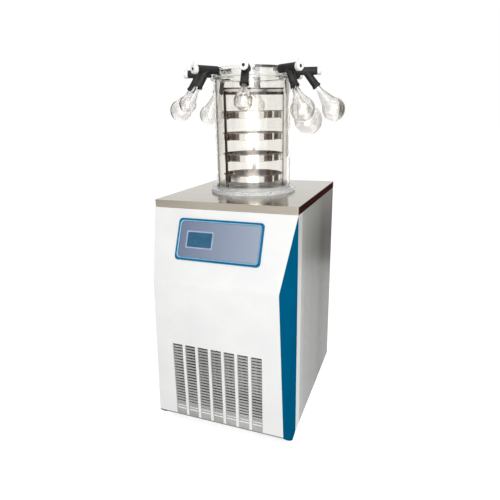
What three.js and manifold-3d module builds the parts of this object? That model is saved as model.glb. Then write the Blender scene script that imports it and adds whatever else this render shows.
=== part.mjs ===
// Floor-standing laboratory freeze dryer with a clear drying chamber and an eight-port manifold.
// Millimetres, +Z up. The pieces are laid out from the chamber's axis (x = 0, y = 0) with the floor
// at z = 0 and the control panel facing -Y. At the end the whole dryer is moved sideways, so that the
// origin is the middle of its bounding box on the floor.
import * as THREE from 'three';
import { mergeVertices } from 'three/addons/utils/BufferGeometryUtils.js';
import Module from 'manifold-3d';

const wasm = await Module();
wasm.setup();

// ---------- Driving dimensions ----------
const gap = 0.3; // left between pieces that touch
const sheet = 1.5; // folded steel sheet
const through = 12; // how far a cutting tool reaches past a sheet
const roundFacets = 32; // of the chamber and of everything that nests in it
const dishFacets = 20; // of the trays, the compressor and the fan's tunnel
const wheelFacets = 12; // of the feet, the knobs and the fan's hub and motor
const tubeFacets = 10; // of the ports and of the valve bores on them
const flaskFacets = 10;
const bendSteps = 3; // of a fold in a sheet

// Cabinet
const footHeight = 25;
const footRadius = 20;
const footInset = 70;
const footTaper = 5;
const footChamfer = 2;
const cabinetWidth = 448;
const cabinetDepth = 514;
const cabinetHeight = 695;
const frameReturn = 42; // depth of the white front frame
const frameFlange = 14;
const panelFlange = 15;
const panHeight = 30;

// Bulged front cover and its flanks
const bulge = 88; // how far the cover stands in front of the cabinet
const coverCreaseDrop = 203; // from the cabinet's top down to the crease
const coverBottomRise = 35; // from the cabinet's bottom up to the cover's lower edge
const coverCreaseInset = 29; // each side, at the crease
const coverBottomInset = 14.5; // each side, at the lower edge
const coverLip = 20;
const coverBendRadius = 6;
const coverLipRadius = 3;
const coverRelief = 8; // cut from the ends of the lip, where the flanks pass
const flankTailReach = 24; // in front of the cabinet, where the flank's tail ends
const flankTailRise = 8; // of its end, above the floor
const flankTailWidth = 4; // of its end
const flankTailFullness = 54; // reach of the point that the tail's front edge curves towards
const flankTailBend = 26; // height of that point
const flankTailSteps = 6;
const flankTopDrop = 6; // from the cover's top edge, where the flank would end in a knife edge

// Grille
const grilleColumns = 7;
const grilleColumnWidth = 34.2;
const grilleColumnPitch = 42.7;
const grilleWindowHeight = 250;
const grilleWindowRise = 6; // above the cover's lower edge
const grilleRows = 24;
const grilleRowPitch = 9.8;
const grilleSlotHeight = 4.4;
const grilleSlotMargin = 1.8; // from a window's side to its slots
const grilleTopMargin = 2.2; // from a window's top to its first slot
const grilleSheet = 1.2;
const grilleOverlap = 10;

// Control panel
const panelWidth = 266;
const panelHeight = 124;
const panelTopDrop = 28; // along the sloping face, from the cover's top edge
const panelCorner = 11;
const bezelWidth = 9;
const bezelHeight = 4;
const membraneThickness = 1.6;
const membraneCorner = 4;
const displayWidth = 86;
const displayHeight = 52;
const displayOffset = -60; // from the panel's middle
const displayThickness = 2.4;
const displayBezel = 8; // of the window, outside the hole behind it
const displayCorner = 3;

// Worktop
const worktopOverhang = 1; // past the cabinet, all round
const worktopBand = 22;
const worktopLip = 12;
const worktopCorner = 3;

// Cold trap
const trapRadius = 90;
const trapDepth = 190;
const trapWall = 1.5;
const trapLipRadius = 111;
const coilTubeRadius = 4;
const coilTurns = 5;
const coilStepsPerTurn = 9;
const coilSectionSteps = 3;
const coilPitch = 22;
const coilTopDrop = 45; // from the worktop down to the highest turn
const jacketThickness = 26;
const outletRadius = 12;
const outletWall = 1.5;
const outletDrop = 165; // from the worktop down to the vacuum outlet
const outletFlangeRadius = 20;
const outletFlangeThickness = 5;
const outletReach = 24; // behind the cabinet

// Drying chamber
const chamberRadius = 122.5;
const chamberWall = 10;
const chamberHeight = 348;
const gasketThickness = 3;
const baseFlangeWidth = 18;
const baseFlangeHeight = 7;
const baseFlangeChamfer = 2;

// Manifold lid
const lidRadius = 114;
const lidWall = 9;
const lidRoof = 7;
const lidHeight = 27;
const lidFlangeHeight = 6;
const lidFlangeOverhang = 1.5; // outside the chamber's wall
const lidChamfer = 3;
const lidGasket = 2;
const lidSpigot = 8;
const portCount = 8;
const portPhase = 14.3; // degrees from +X to the first port
const portRise = 15; // from the lid's lower edge to the ports' axes
const portReach = 30;
const portRadius = 7;
const portBore = 4.5;

// Flask valves
const valveStart = 16; // from the lid's wall to the valve's inner end
const valveLength = 74;
const valveRadius = 12;
const valvePassage = 5.3; // from the bore down to the flask
const branchOffset = 38; // from the valve's inner end to the branch
const branchLength = 61;
const branchRootRadius = 10.8;
const branchMouthRadius = 12.2;
const mouthCollarRadius = 13.6;
const mouthCollarLength = 7;
const mouthDepth = 22;
const mouthClearance = 0.6; // round the flask's neck
const knobRadius = 13;
const knobThickness = 13;
const knobChamfer = 3;
const knobStemLength = 20;
const knobEyeRadius = 3.4;
const knobEyeDepth = 3;
const knobTabWidth = 7;
const knobTabReach = 19;
const knobTabThickness = 4;

// Flasks, each with a round bulb; its length runs from the mouth to the bulb's end
const smallBulbRadius = 26;
const smallFlaskLength = 102;
const slimBulbRadius = 25;
const slimFlaskLength = 106;
const roundBulbRadius = 35;
const roundFlaskLength = 125;
const longBulbRadius = 37;
const longFlaskLength = 144;
const largeBulbRadius = 51;
const largeFlaskLength = 185;
const flaskNeckRadius = 9.6;
const flaskWall = 1.6;
const flaskNeckShow = 13; // straight neck below the valve's mouth
const flaskShoulder = 138; // degrees from the bulb's far end to where it meets the shoulder
const flaskArcSteps = 4;

const smallFlask = { bulb: smallBulbRadius, length: smallFlaskLength };
const slimFlask = { bulb: slimBulbRadius, length: slimFlaskLength };
const roundFlask = { bulb: roundBulbRadius, length: roundFlaskLength };
const longFlask = { bulb: longBulbRadius, length: longFlaskLength };
const largeFlask = { bulb: largeBulbRadius, length: largeFlaskLength };
// From the first port round, with the droop of each valve's branch in degrees
const stations = [
  { ...longFlask, tilt: 38 },
  { ...largeFlask, tilt: 31 },
  { ...smallFlask, tilt: 36 },
  { ...longFlask, tilt: 32 },
  { ...roundFlask, tilt: 31 },
  { ...slimFlask, tilt: 36 },
  { ...smallFlask, tilt: 36 },
  { ...roundFlask, tilt: 27 },
];

// Tray rack
const trayCount = 4;
const trayRadius = 96.5;
const trayHeight = 22;
const trayWall = 1.2;
const trayRimWidth = 2.4;
const trayPitch = 65.3;
const firstTrayRise = 35; // above the worktop
const rackOpening = -54.3; // degrees from +X to the side that the trays go in by
const rackPostSpread = 72.7; // degrees from that side to the two front posts
const rackRearTurn = 162.3; // degrees from that side to the rear post
const rackPostWidth = 12;
const rackPostThickness = 3;
const rackPostClearance = 1.3; // round the trays
const rackTabDepth = 9;
const rackTabThickness = 1.5;
const rackTopRise = 323; // above the worktop
const rackBarHeight = 21;
const rackBarFlange = 9; // of the folded bars across the top

// Refrigeration
const condenserWidth = 300;
const condenserHeight = 210;
const condenserDepth = 44;
const condenserSetback = 60; // behind the cabinet's front
const condenserFins = 12;
const finThickness = 1;
const finReach = 22; // in front of the condenser's core
const shroudDepth = 30;
const shroudOverlap = 1; // with the condenser's core
const fanRadius = 92;
const fanBlades = 5;
const fanHubRadius = 26;
const fanDepth = 22;
const fanTipClearance = 5;
const fanHubSetback = 2; // behind the condenser
const fanBladeWidth = 34;
const fanBladeThickness = 1.6;
const fanBladePitch = 22; // degrees
const fanShaftRadius = 4;
const fanShaftLength = 10;
const fanMotorRadius = 30;
const fanMotorDepth = 40;
const fanArmWidth = 10;
const fanArmThickness = 6;
const fanArmCount = 3;
const fanBladeOverlap = 1.6; // of the blades' roots with the hub
const fanShaftOverlap = 1; // of the shaft's root with the hub
const compressorRadius = 78;
const compressorHeight = 185;
const compressorSetback = 140; // its axis in front of the cabinet's back
const compressorDome = 46; // height of the domed top
const compressorDomeSteps = 4;
const compressorHeel = 22; // cut from the shell's lower corner
const compressorBaseWidth = 190;
const compressorBaseDepth = 132;
const compressorBaseHeight = 14;

// Back panel
const ventRows = 10;
const ventPitch = 14;
const ventHeight = 5;
const ventWidth = 130;
const ventSpacing = 160;
const ventRise = 370; // above the cabinet's bottom
const inletWidth = 48;
const inletHeight = 28;
const inletDepth = 26;
const inletWall = 6;
const inletSocketDepth = 18;
const inletFlange = 4;
const inletFlangeThickness = 3;
const inletInset = 74; // from the back panel's edge to the inlet's middle
const inletRise = 80;

// ---------- Places worked out from the dimensions ----------
const cabinetBottom = footHeight;
const cabinetTop = cabinetBottom + cabinetHeight;
const worktopTop = cabinetTop + gap + worktopBand;
const front = -cabinetDepth / 2; // the cabinet's front plane
const back = cabinetDepth / 2;
const side = cabinetWidth / 2;
const panelFront = front + frameReturn + gap; // the side panels run from here
const panelBack = back - sheet - gap; // to here
const worktopWidth = cabinetWidth + 2 * worktopOverhang;
const worktopDepth = cabinetDepth + 2 * worktopOverhang;
const inletX = inletInset - side;

const coverTop = cabinetTop - gap;
const coverCrease = cabinetTop - coverCreaseDrop;
const coverBottom = cabinetBottom + coverBottomRise;
const coverRootY = front - gap - sheet;
const coverFaceY = front - bulge;
const coverTilt = Math.atan2(coverRootY - coverFaceY, coverTop - coverCrease);
const coverBack = (sheet + 2 * gap) / Math.cos(coverTilt);

const gasketTop = worktopTop + gap + gasketThickness;
const chamberBottom = gasketTop + gap;
const chamberTop = chamberBottom + chamberHeight;
const lidBottom = chamberTop + lidGasket + 2 * gap;
const lidTop = lidBottom + lidHeight;
const portZ = lidBottom + portRise;
const valveBore = portRadius + gap;
const valveInner = lidRadius + valveStart;
const trapFloor = worktopTop - trapDepth;
const trapLipTop = worktopTop + gap + trapWall;
const panFloor = cabinetBottom + sheet;

// ---------- Materials ----------
const paint = (color) => new THREE.MeshStandardMaterial({ color, roughness: 0.45, metalness: 0.1 });
const metal = (color, roughness = 0.35) =>
  new THREE.MeshStandardMaterial({ color, roughness, metalness: 0.9 });
const plastic = (color, roughness = 0.5) =>
  new THREE.MeshStandardMaterial({ color, roughness, metalness: 0 });
const clear = (color, opacity) =>
  new THREE.MeshStandardMaterial({ color, roughness: 0.05, metalness: 0, transparent: true, opacity });
const white = 0xf2f2f0;
const blue = 0x045a86;
const steel = 0xbdb9b2;
const black = 0x1c1c1d;

// ---------- Small tools ----------
const radians = (degrees) => THREE.MathUtils.degToRad(degrees);

// A solid that manifold-3d can join and cut, from a three.js geometry
function solid(geometry) {
  const bare = geometry.clone();
  bare.deleteAttribute('normal');
  bare.deleteAttribute('uv');
  const merged = mergeVertices(bare, 1e-4);
  return new wasm.Manifold(new wasm.Mesh({
    numProp: 3,
    vertProperties: new Float32Array(merged.attributes.position.array),
    triVerts: new Uint32Array(merged.index.array),
  }));
}

function geometryOf(manifold) {
  const mesh = manifold.getMesh();
  const geometry = new THREE.BufferGeometry();
  geometry.setAttribute('position', new THREE.BufferAttribute(new Float32Array(mesh.vertProperties), 3));
  geometry.setIndex(new THREE.BufferAttribute(new Uint32Array(mesh.triVerts), 1));
  return geometry;
}

const union = (parts) => wasm.Manifold.union(parts.map(solid));
const join = (...parts) => geometryOf(union(parts));
const cut = (body, ...tools) => geometryOf(solid(body).subtract(union(tools)));

function box(width, depth, height, x = 0, y = 0, z = 0) {
  return new THREE.BoxGeometry(width, depth, height).translate(x, y, z + height / 2);
}

// Round rods that start at the origin and run along +Z, +Y and +X
function rod(radius, length, segments, endRadius = radius) {
  return new THREE.CylinderGeometry(endRadius, radius, length, segments)
    .rotateX(Math.PI / 2).translate(0, 0, length / 2);
}

const backwards = (...sizes) => rod(...sizes).rotateX(-Math.PI / 2);
const outwards = (...sizes) => rod(...sizes).rotateY(Math.PI / 2);

// A turned piece: its closed profile is given as [radius, height] pairs
function turned(profile, segments) {
  const points = profile.map(([radius, height]) => new THREE.Vector2(radius, height));
  const [first, last] = [points[0], points[points.length - 1]];
  if (first.x > 0 || last.x > 0) points.push(first.clone());
  return outward(new THREE.LatheGeometry(points, segments).rotateX(Math.PI / 2));
}

// Turns a closed geometry's faces round if they point inwards
function outward(geometry) {
  const flat = geometry.index ? geometry.toNonIndexed() : geometry;
  const [a, b, c] = [new THREE.Vector3(), new THREE.Vector3(), new THREE.Vector3()];
  const place = flat.attributes.position;
  let volume = 0;
  for (let i = 0; i < place.count; i += 3) {
    a.fromBufferAttribute(place, i);
    b.fromBufferAttribute(place, i + 1);
    c.fromBufferAttribute(place, i + 2);
    volume += a.dot(b.cross(c));
  }
  if (volume > 0) return geometry;
  const index = geometry.index ?? new THREE.BufferAttribute(
    Uint32Array.from({ length: place.count }, (_, i) => i), 1);
  for (let i = 0; i < index.count; i += 3) {
    const kept = index.getX(i);
    index.setX(i, index.getX(i + 2));
    index.setX(i + 2, kept);
  }
  geometry.setIndex(index);
  return geometry;
}

const ring = (inner, outer, height, segments, z = 0) =>
  turned([[inner, z], [outer, z], [outer, z + height], [inner, z + height]], segments);

function roundedRectangle(width, height, radius, x = 0, y = 0) {
  const [w, h, r] = [width / 2, height / 2, Math.min(radius, width / 2, height / 2)];
  const shape = new THREE.Shape();
  shape.moveTo(x - w + r, y - h);
  shape.lineTo(x + w - r, y - h).absarc(x + w - r, y - h + r, r, -Math.PI / 2, 0);
  shape.lineTo(x + w, y + h - r).absarc(x + w - r, y + h - r, r, 0, Math.PI / 2);
  shape.lineTo(x - w + r, y + h).absarc(x - w + r, y + h - r, r, Math.PI / 2, Math.PI);
  shape.lineTo(x - w, y - h + r).absarc(x - w + r, y - h + r, r, Math.PI, 1.5 * Math.PI);
  return shape;
}

const plate = (shape, thickness, curveSegments = 2) =>
  new THREE.ExtrudeGeometry(shape, { depth: thickness, bevelEnabled: false, curveSegments });

// Rounds the inner corners of an open line of points, each with its own radius
function bend(points, radii) {
  const rounded = [points[0]];
  for (let i = 1; i < points.length - 1; i += 1) {
    const into = points[i].clone().sub(points[i - 1]).normalize();
    const out = points[i + 1].clone().sub(points[i]).normalize();
    const turn = Math.acos(THREE.MathUtils.clamp(into.dot(out), -1, 1));
    const set = radii[i - 1] * Math.tan(turn / 2);
    const [start, end] = [into.multiplyScalar(-set), out.multiplyScalar(set)].map((v) => v.add(points[i]));
    rounded.push(...new THREE.QuadraticBezierCurve(start, points[i], end).getPoints(bendSteps));
  }
  rounded.push(points[points.length - 1]);
  return rounded;
}

// The section of a sheet folded along a line of points, with its thickness on the line's left
function foldedSection(points, thickness) {
  const inner = points.map((point, i) => {
    const into = point.clone().sub(points[Math.max(i - 1, 0)]);
    const out = points[Math.min(i + 1, points.length - 1)].clone().sub(point);
    if (i === 0) into.copy(out);
    if (i === points.length - 1) out.copy(into);
    into.normalize();
    out.normalize();
    const normal = new THREE.Vector2(-into.y - out.y, into.x + out.x).normalize();
    const half = Math.sqrt((1 + into.dot(out)) / 2);
    return point.clone().addScaledVector(normal, thickness / half);
  });
  return new THREE.Shape([...points, ...inner.reverse()]);
}

// A folded sheet: the section lies in the YZ plane and runs across the width
function foldedAcross(points, thickness, width) {
  const section = foldedSection(points.map(([y, z]) => new THREE.Vector2(y, z)), thickness);
  const folded = plate(section, width).rotateX(Math.PI / 2).rotateZ(Math.PI / 2);
  return outward(folded.translate(-width / 2, 0, 0));
}

// A skin through rings of points that all have the same number, closed at both ends
function loft(rings) {
  const count = rings[0].length;
  const positions = rings.flat().flatMap((point) => point.toArray());
  const index = [];
  for (let i = 0; i < rings.length - 1; i += 1) {
    for (let j = 0; j < count; j += 1) {
      const [a, b] = [i * count + j, i * count + ((j + 1) % count)];
      index.push(a, b, b + count, a, b + count, a + count);
    }
  }
  const top = (rings.length - 1) * count;
  for (let j = 1; j < count - 1; j += 1) {
    index.push(0, j + 1, j, top, top + j, top + j + 1);
  }
  const geometry = new THREE.BufferGeometry();
  geometry.setAttribute('position', new THREE.Float32BufferAttribute(positions, 3));
  geometry.setIndex(index);
  return outward(geometry);
}

const dryer = new THREE.Group();

function add(name, geometry, material, parent = dryer) {
  const mesh = new THREE.Mesh(geometry, material);
  mesh.name = name;
  parent.add(mesh);
  return mesh;
}

// ---------- Cabinet ----------
function basePan() {
  const width = cabinetWidth - 2 * (sheet + gap);
  const depth = panelBack - panelFront - 2 * (sheet + gap);
  const middle = (panelFront + panelBack) / 2;
  const outer = box(width, depth, panHeight, 0, middle, cabinetBottom);
  const inner = box(width - 2 * sheet, depth - 2 * sheet, panHeight, 0, middle, cabinetBottom + sheet);
  add('base_pan', cut(outer, inner), metal(0x8f9293, 0.5));
}

function feet() {
  const places = [[-1, -1], [1, -1], [-1, 1], [1, 1]];
  places.forEach(([x, y], i) => {
    const foot = turned([
      [0, 0], [footRadius - footChamfer, 0], [footRadius, footChamfer],
      [footRadius - footTaper, footHeight - gap], [0, footHeight - gap],
    ], wheelFacets);
    const mesh = add(`foot_${i + 1}`, foot, plastic(black, 0.8));
    mesh.position.set(x * (side - footInset), y * (back - footInset), 0);
  });
}

function sidePanel(sign) {
  const points = [
    [side - panelFlange, panelFront], [side, panelFront], [side, panelBack], [side - panelFlange, panelBack],
  ].map(([x, y]) => new THREE.Vector2(x, y));
  const panel = plate(foldedSection(points, sheet), cabinetHeight).translate(0, 0, cabinetBottom);
  const geometry = sign > 0 ? panel : panel.rotateZ(Math.PI).translate(0, panelFront + panelBack, 0);
  add(sign > 0 ? 'side_panel_right' : 'side_panel_left', geometry, paint(white));
}

function backPanel() {
  const face = box(cabinetWidth, sheet, cabinetHeight, 0, back - sheet / 2, cabinetBottom);
  const slots = [-1, 1].flatMap((column) => Array.from({ length: ventRows }, (_, row) =>
    box(ventWidth, through, ventHeight, column * ventSpacing / 2, back,
      cabinetBottom + ventRise + row * ventPitch)));
  const inlet = box(inletWidth + 2 * gap, through, inletHeight + 2 * gap, inletX, back,
    cabinetBottom + inletRise - inletHeight / 2 - gap);
  const pipe = backwards(outletRadius + gap, 2 * through, tubeFacets)
    .translate(0, back - through, worktopTop - outletDrop);
  add('back_panel', cut(face, inlet, pipe, ...slots), paint(white));
}

function mainsInlet() {
  const face = gap + inletFlangeThickness;
  const body = box(inletWidth, inletDepth, inletHeight, 0, face - inletDepth / 2, -inletHeight / 2);
  const collar = box(inletWidth + 2 * inletFlange, inletFlangeThickness, inletHeight + 2 * inletFlange, 0,
    gap + inletFlangeThickness / 2, -inletHeight / 2 - inletFlange);
  const socket = box(inletWidth - 2 * inletWall, 2 * inletSocketDepth, inletHeight - 2 * inletWall, 0, face,
    inletWall - inletHeight / 2);
  const mesh = add('mains_inlet', cut(join(body, collar), socket), plastic(black));
  mesh.position.set(inletX, back, cabinetBottom + inletRise);
}

function frontFrame() {
  const outer = box(cabinetWidth, frameReturn, cabinetHeight, 0, front + frameReturn / 2, cabinetBottom);
  const hollow = box(cabinetWidth - 2 * sheet, frameReturn, cabinetHeight - 2 * sheet, 0,
    front + frameReturn / 2 + sheet, cabinetBottom + sheet);
  const opening = box(cabinetWidth - 2 * frameFlange, through, cabinetHeight - 2 * frameFlange, 0, front,
    cabinetBottom + frameFlange);
  add('front_frame', cut(outer, hollow, opening), paint(white));
}

// Half the cover's width at a height: it narrows to the crease and widens again below it
function coverHalfWidth(z) {
  const crease = side - coverCreaseInset;
  if (z >= coverCrease) return THREE.MathUtils.mapLinear(z, coverCrease, coverTop, crease, side);
  return THREE.MathUtils.mapLinear(z, coverBottom, coverCrease, side - coverBottomInset, crease);
}

function grilleWindows() {
  return Array.from({ length: grilleColumns }, (_, i) => (i - (grilleColumns - 1) / 2) * grilleColumnPitch);
}

function frontCover() {
  const points = bend([
    new THREE.Vector2(coverRootY, coverTop), new THREE.Vector2(coverFaceY, coverCrease),
    new THREE.Vector2(coverFaceY, coverBottom), new THREE.Vector2(coverFaceY + coverLip, coverBottom),
  ], [coverBendRadius, coverLipRadius]).map((point) => point.toArray());
  const folded = foldedAcross(points, sheet, cabinetWidth);
  const levels = [coverBottom - sheet, coverCrease, coverTop + sheet];
  const outline = new THREE.Shape([
    ...levels.map((z) => new THREE.Vector2(coverHalfWidth(z), z)),
    ...levels.reverse().map((z) => new THREE.Vector2(-coverHalfWidth(z), z)),
  ]);
  const trim = plate(outline, bulge * 2).rotateX(Math.PI / 2).translate(0, front + bulge / 2, 0);
  const windows = grilleWindows().map((x) => box(grilleColumnWidth, through, grilleWindowHeight, x,
    coverFaceY + sheet / 2, coverBottom + grilleWindowRise));
  const trimmed = geometryOf(solid(folded).intersect(solid(trim)));
  const reliefs = [-1, 1].map((sign) => box(2 * coverRelief, 2 * coverLip, through + coverLipRadius + sheet,
    sign * coverHalfWidth(coverBottom), coverFaceY + sheet + coverLip, coverBottom - through));
  const displayHole = onPanel(box(displayWidth - 2 * displayBezel, displayHeight - 2 * displayBezel,
    2 * through, displayOffset, 0, -through));
  add('front_cover', cut(trimmed, displayHole, ...reliefs, ...windows), paint(white));
}

function grillePanel() {
  const width = (grilleColumns - 1) * grilleColumnPitch + grilleColumnWidth + 2 * grilleOverlap;
  const bottom = coverBottom + coverLipRadius + sheet;
  const windowTop = coverBottom + grilleWindowRise + grilleWindowHeight;
  const height = windowTop + grilleOverlap - bottom;
  const faceY = coverFaceY + sheet + gap;
  const face = box(width, grilleSheet, height, 0, faceY + grilleSheet / 2, bottom);
  const slotWidth = grilleColumnWidth - 2 * grilleSlotMargin;
  const top = windowTop - grilleTopMargin - grilleSlotHeight;
  const slots = grilleWindows().flatMap((x) => Array.from({ length: grilleRows }, (_, row) =>
    box(slotWidth, through, grilleSlotHeight, x, faceY, top - row * grilleRowPitch)));
  add('grille_panel', cut(face, ...slots), metal(0xa9a8a6, 0.5));
}

// A flank closes the bulge from the cabinet's corner to the cover's edge, and ends in a tail that hangs
// below the cabinet. Each level is a strip of sheet seen from above.
function flank(sign) {
  const depthAt = (z) => (z >= coverCrease
    ? THREE.MathUtils.mapLinear(z, coverCrease, coverTop, bulge, front - coverRootY) : bulge);
  const strip = (z, reach, slope, start = 0) => {
    const root = new THREE.Vector2(side - start * slope, front - gap - start);
    const tip = new THREE.Vector2(side - reach * slope, front - reach);
    const inward = new THREE.Vector2(-sheet * Math.hypot(slope, 1), 0);
    return [root, tip, tip.clone().add(inward), root.clone().add(inward)]
      .map((point) => new THREE.Vector3(sign * point.x, point.y, z));
  };
  const upper = [coverTop - flankTopDrop, coverCrease, coverBottom].map((z) => {
    const reach = Math.max(depthAt(z) - coverBack, 2 * gap);
    return strip(z, reach, (side - coverHalfWidth(z)) / depthAt(z));
  });
  const tail = new THREE.QuadraticBezierCurve(new THREE.Vector2(bulge - coverBack, coverBottom),
    new THREE.Vector2(flankTailFullness, flankTailBend), new THREE.Vector2(flankTailReach, flankTailRise));
  const lower = tail.getPoints(flankTailSteps).slice(1).map(({ x: reach, y: z }) => {
    const hung = Math.max(cabinetBottom - z, 0) / (cabinetBottom - flankTailRise);
    return strip(z, reach, coverBottomInset / bulge, hung * (flankTailReach - flankTailWidth));
  });
  const geometry = loft([...upper, ...lower]);
  add(sign > 0 ? 'flank_right' : 'flank_left', geometry, paint(blue));
}

// ---------- Control panel on the sloping face ----------
// Moves a geometry from the panel's own frame (X across, Y up the slope, Z out of the face) into place
function onPanel(geometry) {
  const along = panelTopDrop + panelHeight / 2;
  return geometry.rotateX(Math.PI / 2 - coverTilt).translate(0,
    coverRootY - along * Math.sin(coverTilt), coverTop - along * Math.cos(coverTilt));
}

function controlPanel() {
  const frame = roundedRectangle(panelWidth, panelHeight, panelCorner);
  const inside = [panelWidth - 2 * bezelWidth, panelHeight - 2 * bezelWidth];
  frame.holes.push(roundedRectangle(...inside, membraneCorner + gap));
  const film = roundedRectangle(inside[0] - 2 * gap, inside[1] - 2 * gap, membraneCorner);
  film.holes.push(roundedRectangle(displayWidth + 2 * gap, displayHeight + 2 * gap, displayCorner,
    displayOffset));
  const display = roundedRectangle(displayWidth, displayHeight, displayCorner, displayOffset);
  const fitted = (shape, thickness) => onPanel(plate(shape, thickness).translate(0, 0, gap));
  add('control_bezel', fitted(frame, bezelHeight), plastic(blue, 0.4));
  add('control_membrane', fitted(film, membraneThickness), plastic(0x9c98ad, 0.6));
  add('display_window', fitted(display, displayThickness), plastic(0x4d83a0, 0.15));
}

// ---------- Worktop and cold trap ----------
function worktop() {
  const outline = roundedRectangle(worktopWidth, worktopDepth, worktopCorner);
  const slab = plate(outline, worktopBand).translate(0, 0, worktopTop - worktopBand);
  const hollow = box(worktopWidth - 2 * sheet, worktopDepth - 2 * sheet, worktopBand - 2 * sheet, 0, 0,
    worktopTop - worktopBand + sheet);
  const under = box(worktopWidth - 2 * worktopLip, worktopDepth - 2 * worktopLip, 2 * sheet, 0, 0,
    worktopTop - worktopBand - sheet);
  const hole = rod(trapRadius + gap, worktopBand + through, roundFacets)
    .translate(0, 0, worktopTop - worktopBand);
  add('worktop', cut(slab, hollow, under, hole), metal(steel, 0.3));
}

function coldTrap() {
  const bucket = turned([
    [0, trapFloor], [trapRadius, trapFloor], [trapRadius, worktopTop + gap],
    [trapLipRadius, worktopTop + gap], [trapLipRadius, trapLipTop], [trapRadius - trapWall, trapLipTop],
    [trapRadius - trapWall, trapFloor + trapWall], [0, trapFloor + trapWall],
  ], roundFacets);
  const outlet = backwards(outletRadius - outletWall, 2 * trapRadius, tubeFacets)
    .translate(0, 0, worktopTop - outletDrop);
  add('cold_trap', cut(bucket, outlet), metal(0xc9cacb, 0.25));
}

class Helix extends THREE.Curve {
  constructor(radius, pitch, turns) {
    super();
    Object.assign(this, { radius, pitch, turns });
  }

  getPoint(t, target = new THREE.Vector3()) {
    const turn = 2 * Math.PI * this.turns * t;
    const height = this.pitch * this.turns * t;
    return target.set(this.radius * Math.cos(turn), this.radius * Math.sin(turn), height);
  }
}

function trapCoil() {
  const wall = (trapRadius - trapWall) * Math.cos(Math.PI / roundFacets);
  const path = new Helix(wall - coilTubeRadius - gap, coilPitch, coilTurns);
  const section = new THREE.Shape().absarc(0, 0, coilTubeRadius, 0, 2 * Math.PI);
  const tube = new THREE.ExtrudeGeometry(section, {
    steps: coilTurns * coilStepsPerTurn,
    extrudePath: path,
    bevelEnabled: false,
    curveSegments: coilSectionSteps,
  });
  const mesh = add('trap_coil', outward(tube), metal(0xb9bcbd, 0.3));
  mesh.position.z = worktopTop - coilTopDrop - coilPitch * coilTurns;
}

function trapJacket() {
  const inner = trapRadius + gap;
  const outer = inner + jacketThickness;
  const top = worktopTop - 2 * sheet - worktopBand / 2;
  const shell = ring(inner, outer, top - trapFloor, roundFacets, trapFloor);
  const pipe = backwards(outletRadius + gap, 2 * outer, tubeFacets).translate(0, 0, worktopTop - outletDrop);
  add('trap_jacket', cut(shell, pipe), plastic(0xd8cfae, 0.9));
}

function vacuumPipe() {
  const start = trapRadius + gap;
  const length = back + outletReach - start;
  const flange = backwards(outletFlangeRadius, outletFlangeThickness, 2 * tubeFacets)
    .translate(0, length - outletFlangeThickness, 0);
  const bore = backwards(outletRadius - outletWall, 2 * length, tubeFacets).translate(0, -length / 2, 0);
  const mesh = add('vacuum_pipe', cut(join(backwards(outletRadius, length, tubeFacets), flange), bore),
    metal(0xc4c5c6, 0.3));
  mesh.position.set(0, start, worktopTop - outletDrop);
}

// ---------- Chamber, lid and ports ----------
function chamber() {
  const foot = chamberRadius + baseFlangeWidth;
  const wallInside = chamberRadius - chamberWall;
  const flangeTop = chamberBottom + baseFlangeHeight;
  add('chamber_gasket', ring(trapLipRadius + gap, foot, gasketThickness, roundFacets, worktopTop + gap),
    plastic(0xdedede));
  add('chamber', ring(wallInside, chamberRadius, chamberHeight, roundFacets, chamberBottom),
    clear(0xf2f6f6, 0.25));
  add('base_flange', turned([
    [chamberRadius + gap, chamberBottom], [foot, chamberBottom], [foot, flangeTop - baseFlangeChamfer],
    [foot - baseFlangeChamfer, flangeTop], [chamberRadius + gap, flangeTop],
  ], roundFacets), clear(0xe9eeee, 0.4));
  add('lid_gasket', ring(wallInside, chamberRadius, lidGasket, roundFacets, chamberTop + gap),
    plastic(0xd5d5d5));
}

const portAngle = (i) => radians(portPhase + (360 / portCount) * i);

// Turns a piece that lies along +X to the direction of a port
const atPort = (geometry, i) => geometry.rotateZ(portAngle(i)).translate(0, 0, portZ);

function lid() {
  const spigot = chamberRadius - chamberWall - gap;
  const brim = chamberRadius + lidFlangeOverhang;
  const drum = turned([
    [0, lidTop], [lidRadius - lidChamfer, lidTop], [lidRadius, lidTop - lidChamfer],
    [lidRadius, lidBottom + lidFlangeHeight], [brim, lidBottom + lidFlangeHeight], [brim, lidBottom],
    [spigot, lidBottom], [spigot, lidBottom - lidSpigot], [spigot - lidWall, lidBottom - lidSpigot],
    [spigot - lidWall, lidTop - lidRoof], [0, lidTop - lidRoof],
  ], roundFacets);
  const eachPort = (make) => Array.from({ length: portCount }, (_, i) => atPort(make(), i));
  const stubs = eachPort(() => outwards(portRadius, lidWall + portReach, tubeFacets)
    .translate(lidRadius - lidWall, 0, 0));
  const bores = eachPort(() => outwards(portBore, 4 * lidWall + portReach, tubeFacets / 2)
    .translate(spigot - 2 * lidWall, 0, 0));
  add('manifold_lid', cut(join(drum, ...stubs), ...bores), clear(0xeef2f2, 0.35));
}

// ---------- Flask valves and flasks ----------
// Each station is a group whose +X points out of its port and whose origin is on the valve's axis
function station(i) {
  const group = new THREE.Group();
  group.rotation.z = portAngle(i);
  group.position.z = portZ;
  dryer.add(group);
  return group;
}

// Points a piece that runs along +Z down the branch of a station
function downBranch(geometry, tilt, start = 0) {
  return geometry.translate(0, 0, start).rotateY(Math.PI - radians(tilt))
    .translate(valveInner + branchOffset, 0, 0);
}

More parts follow.
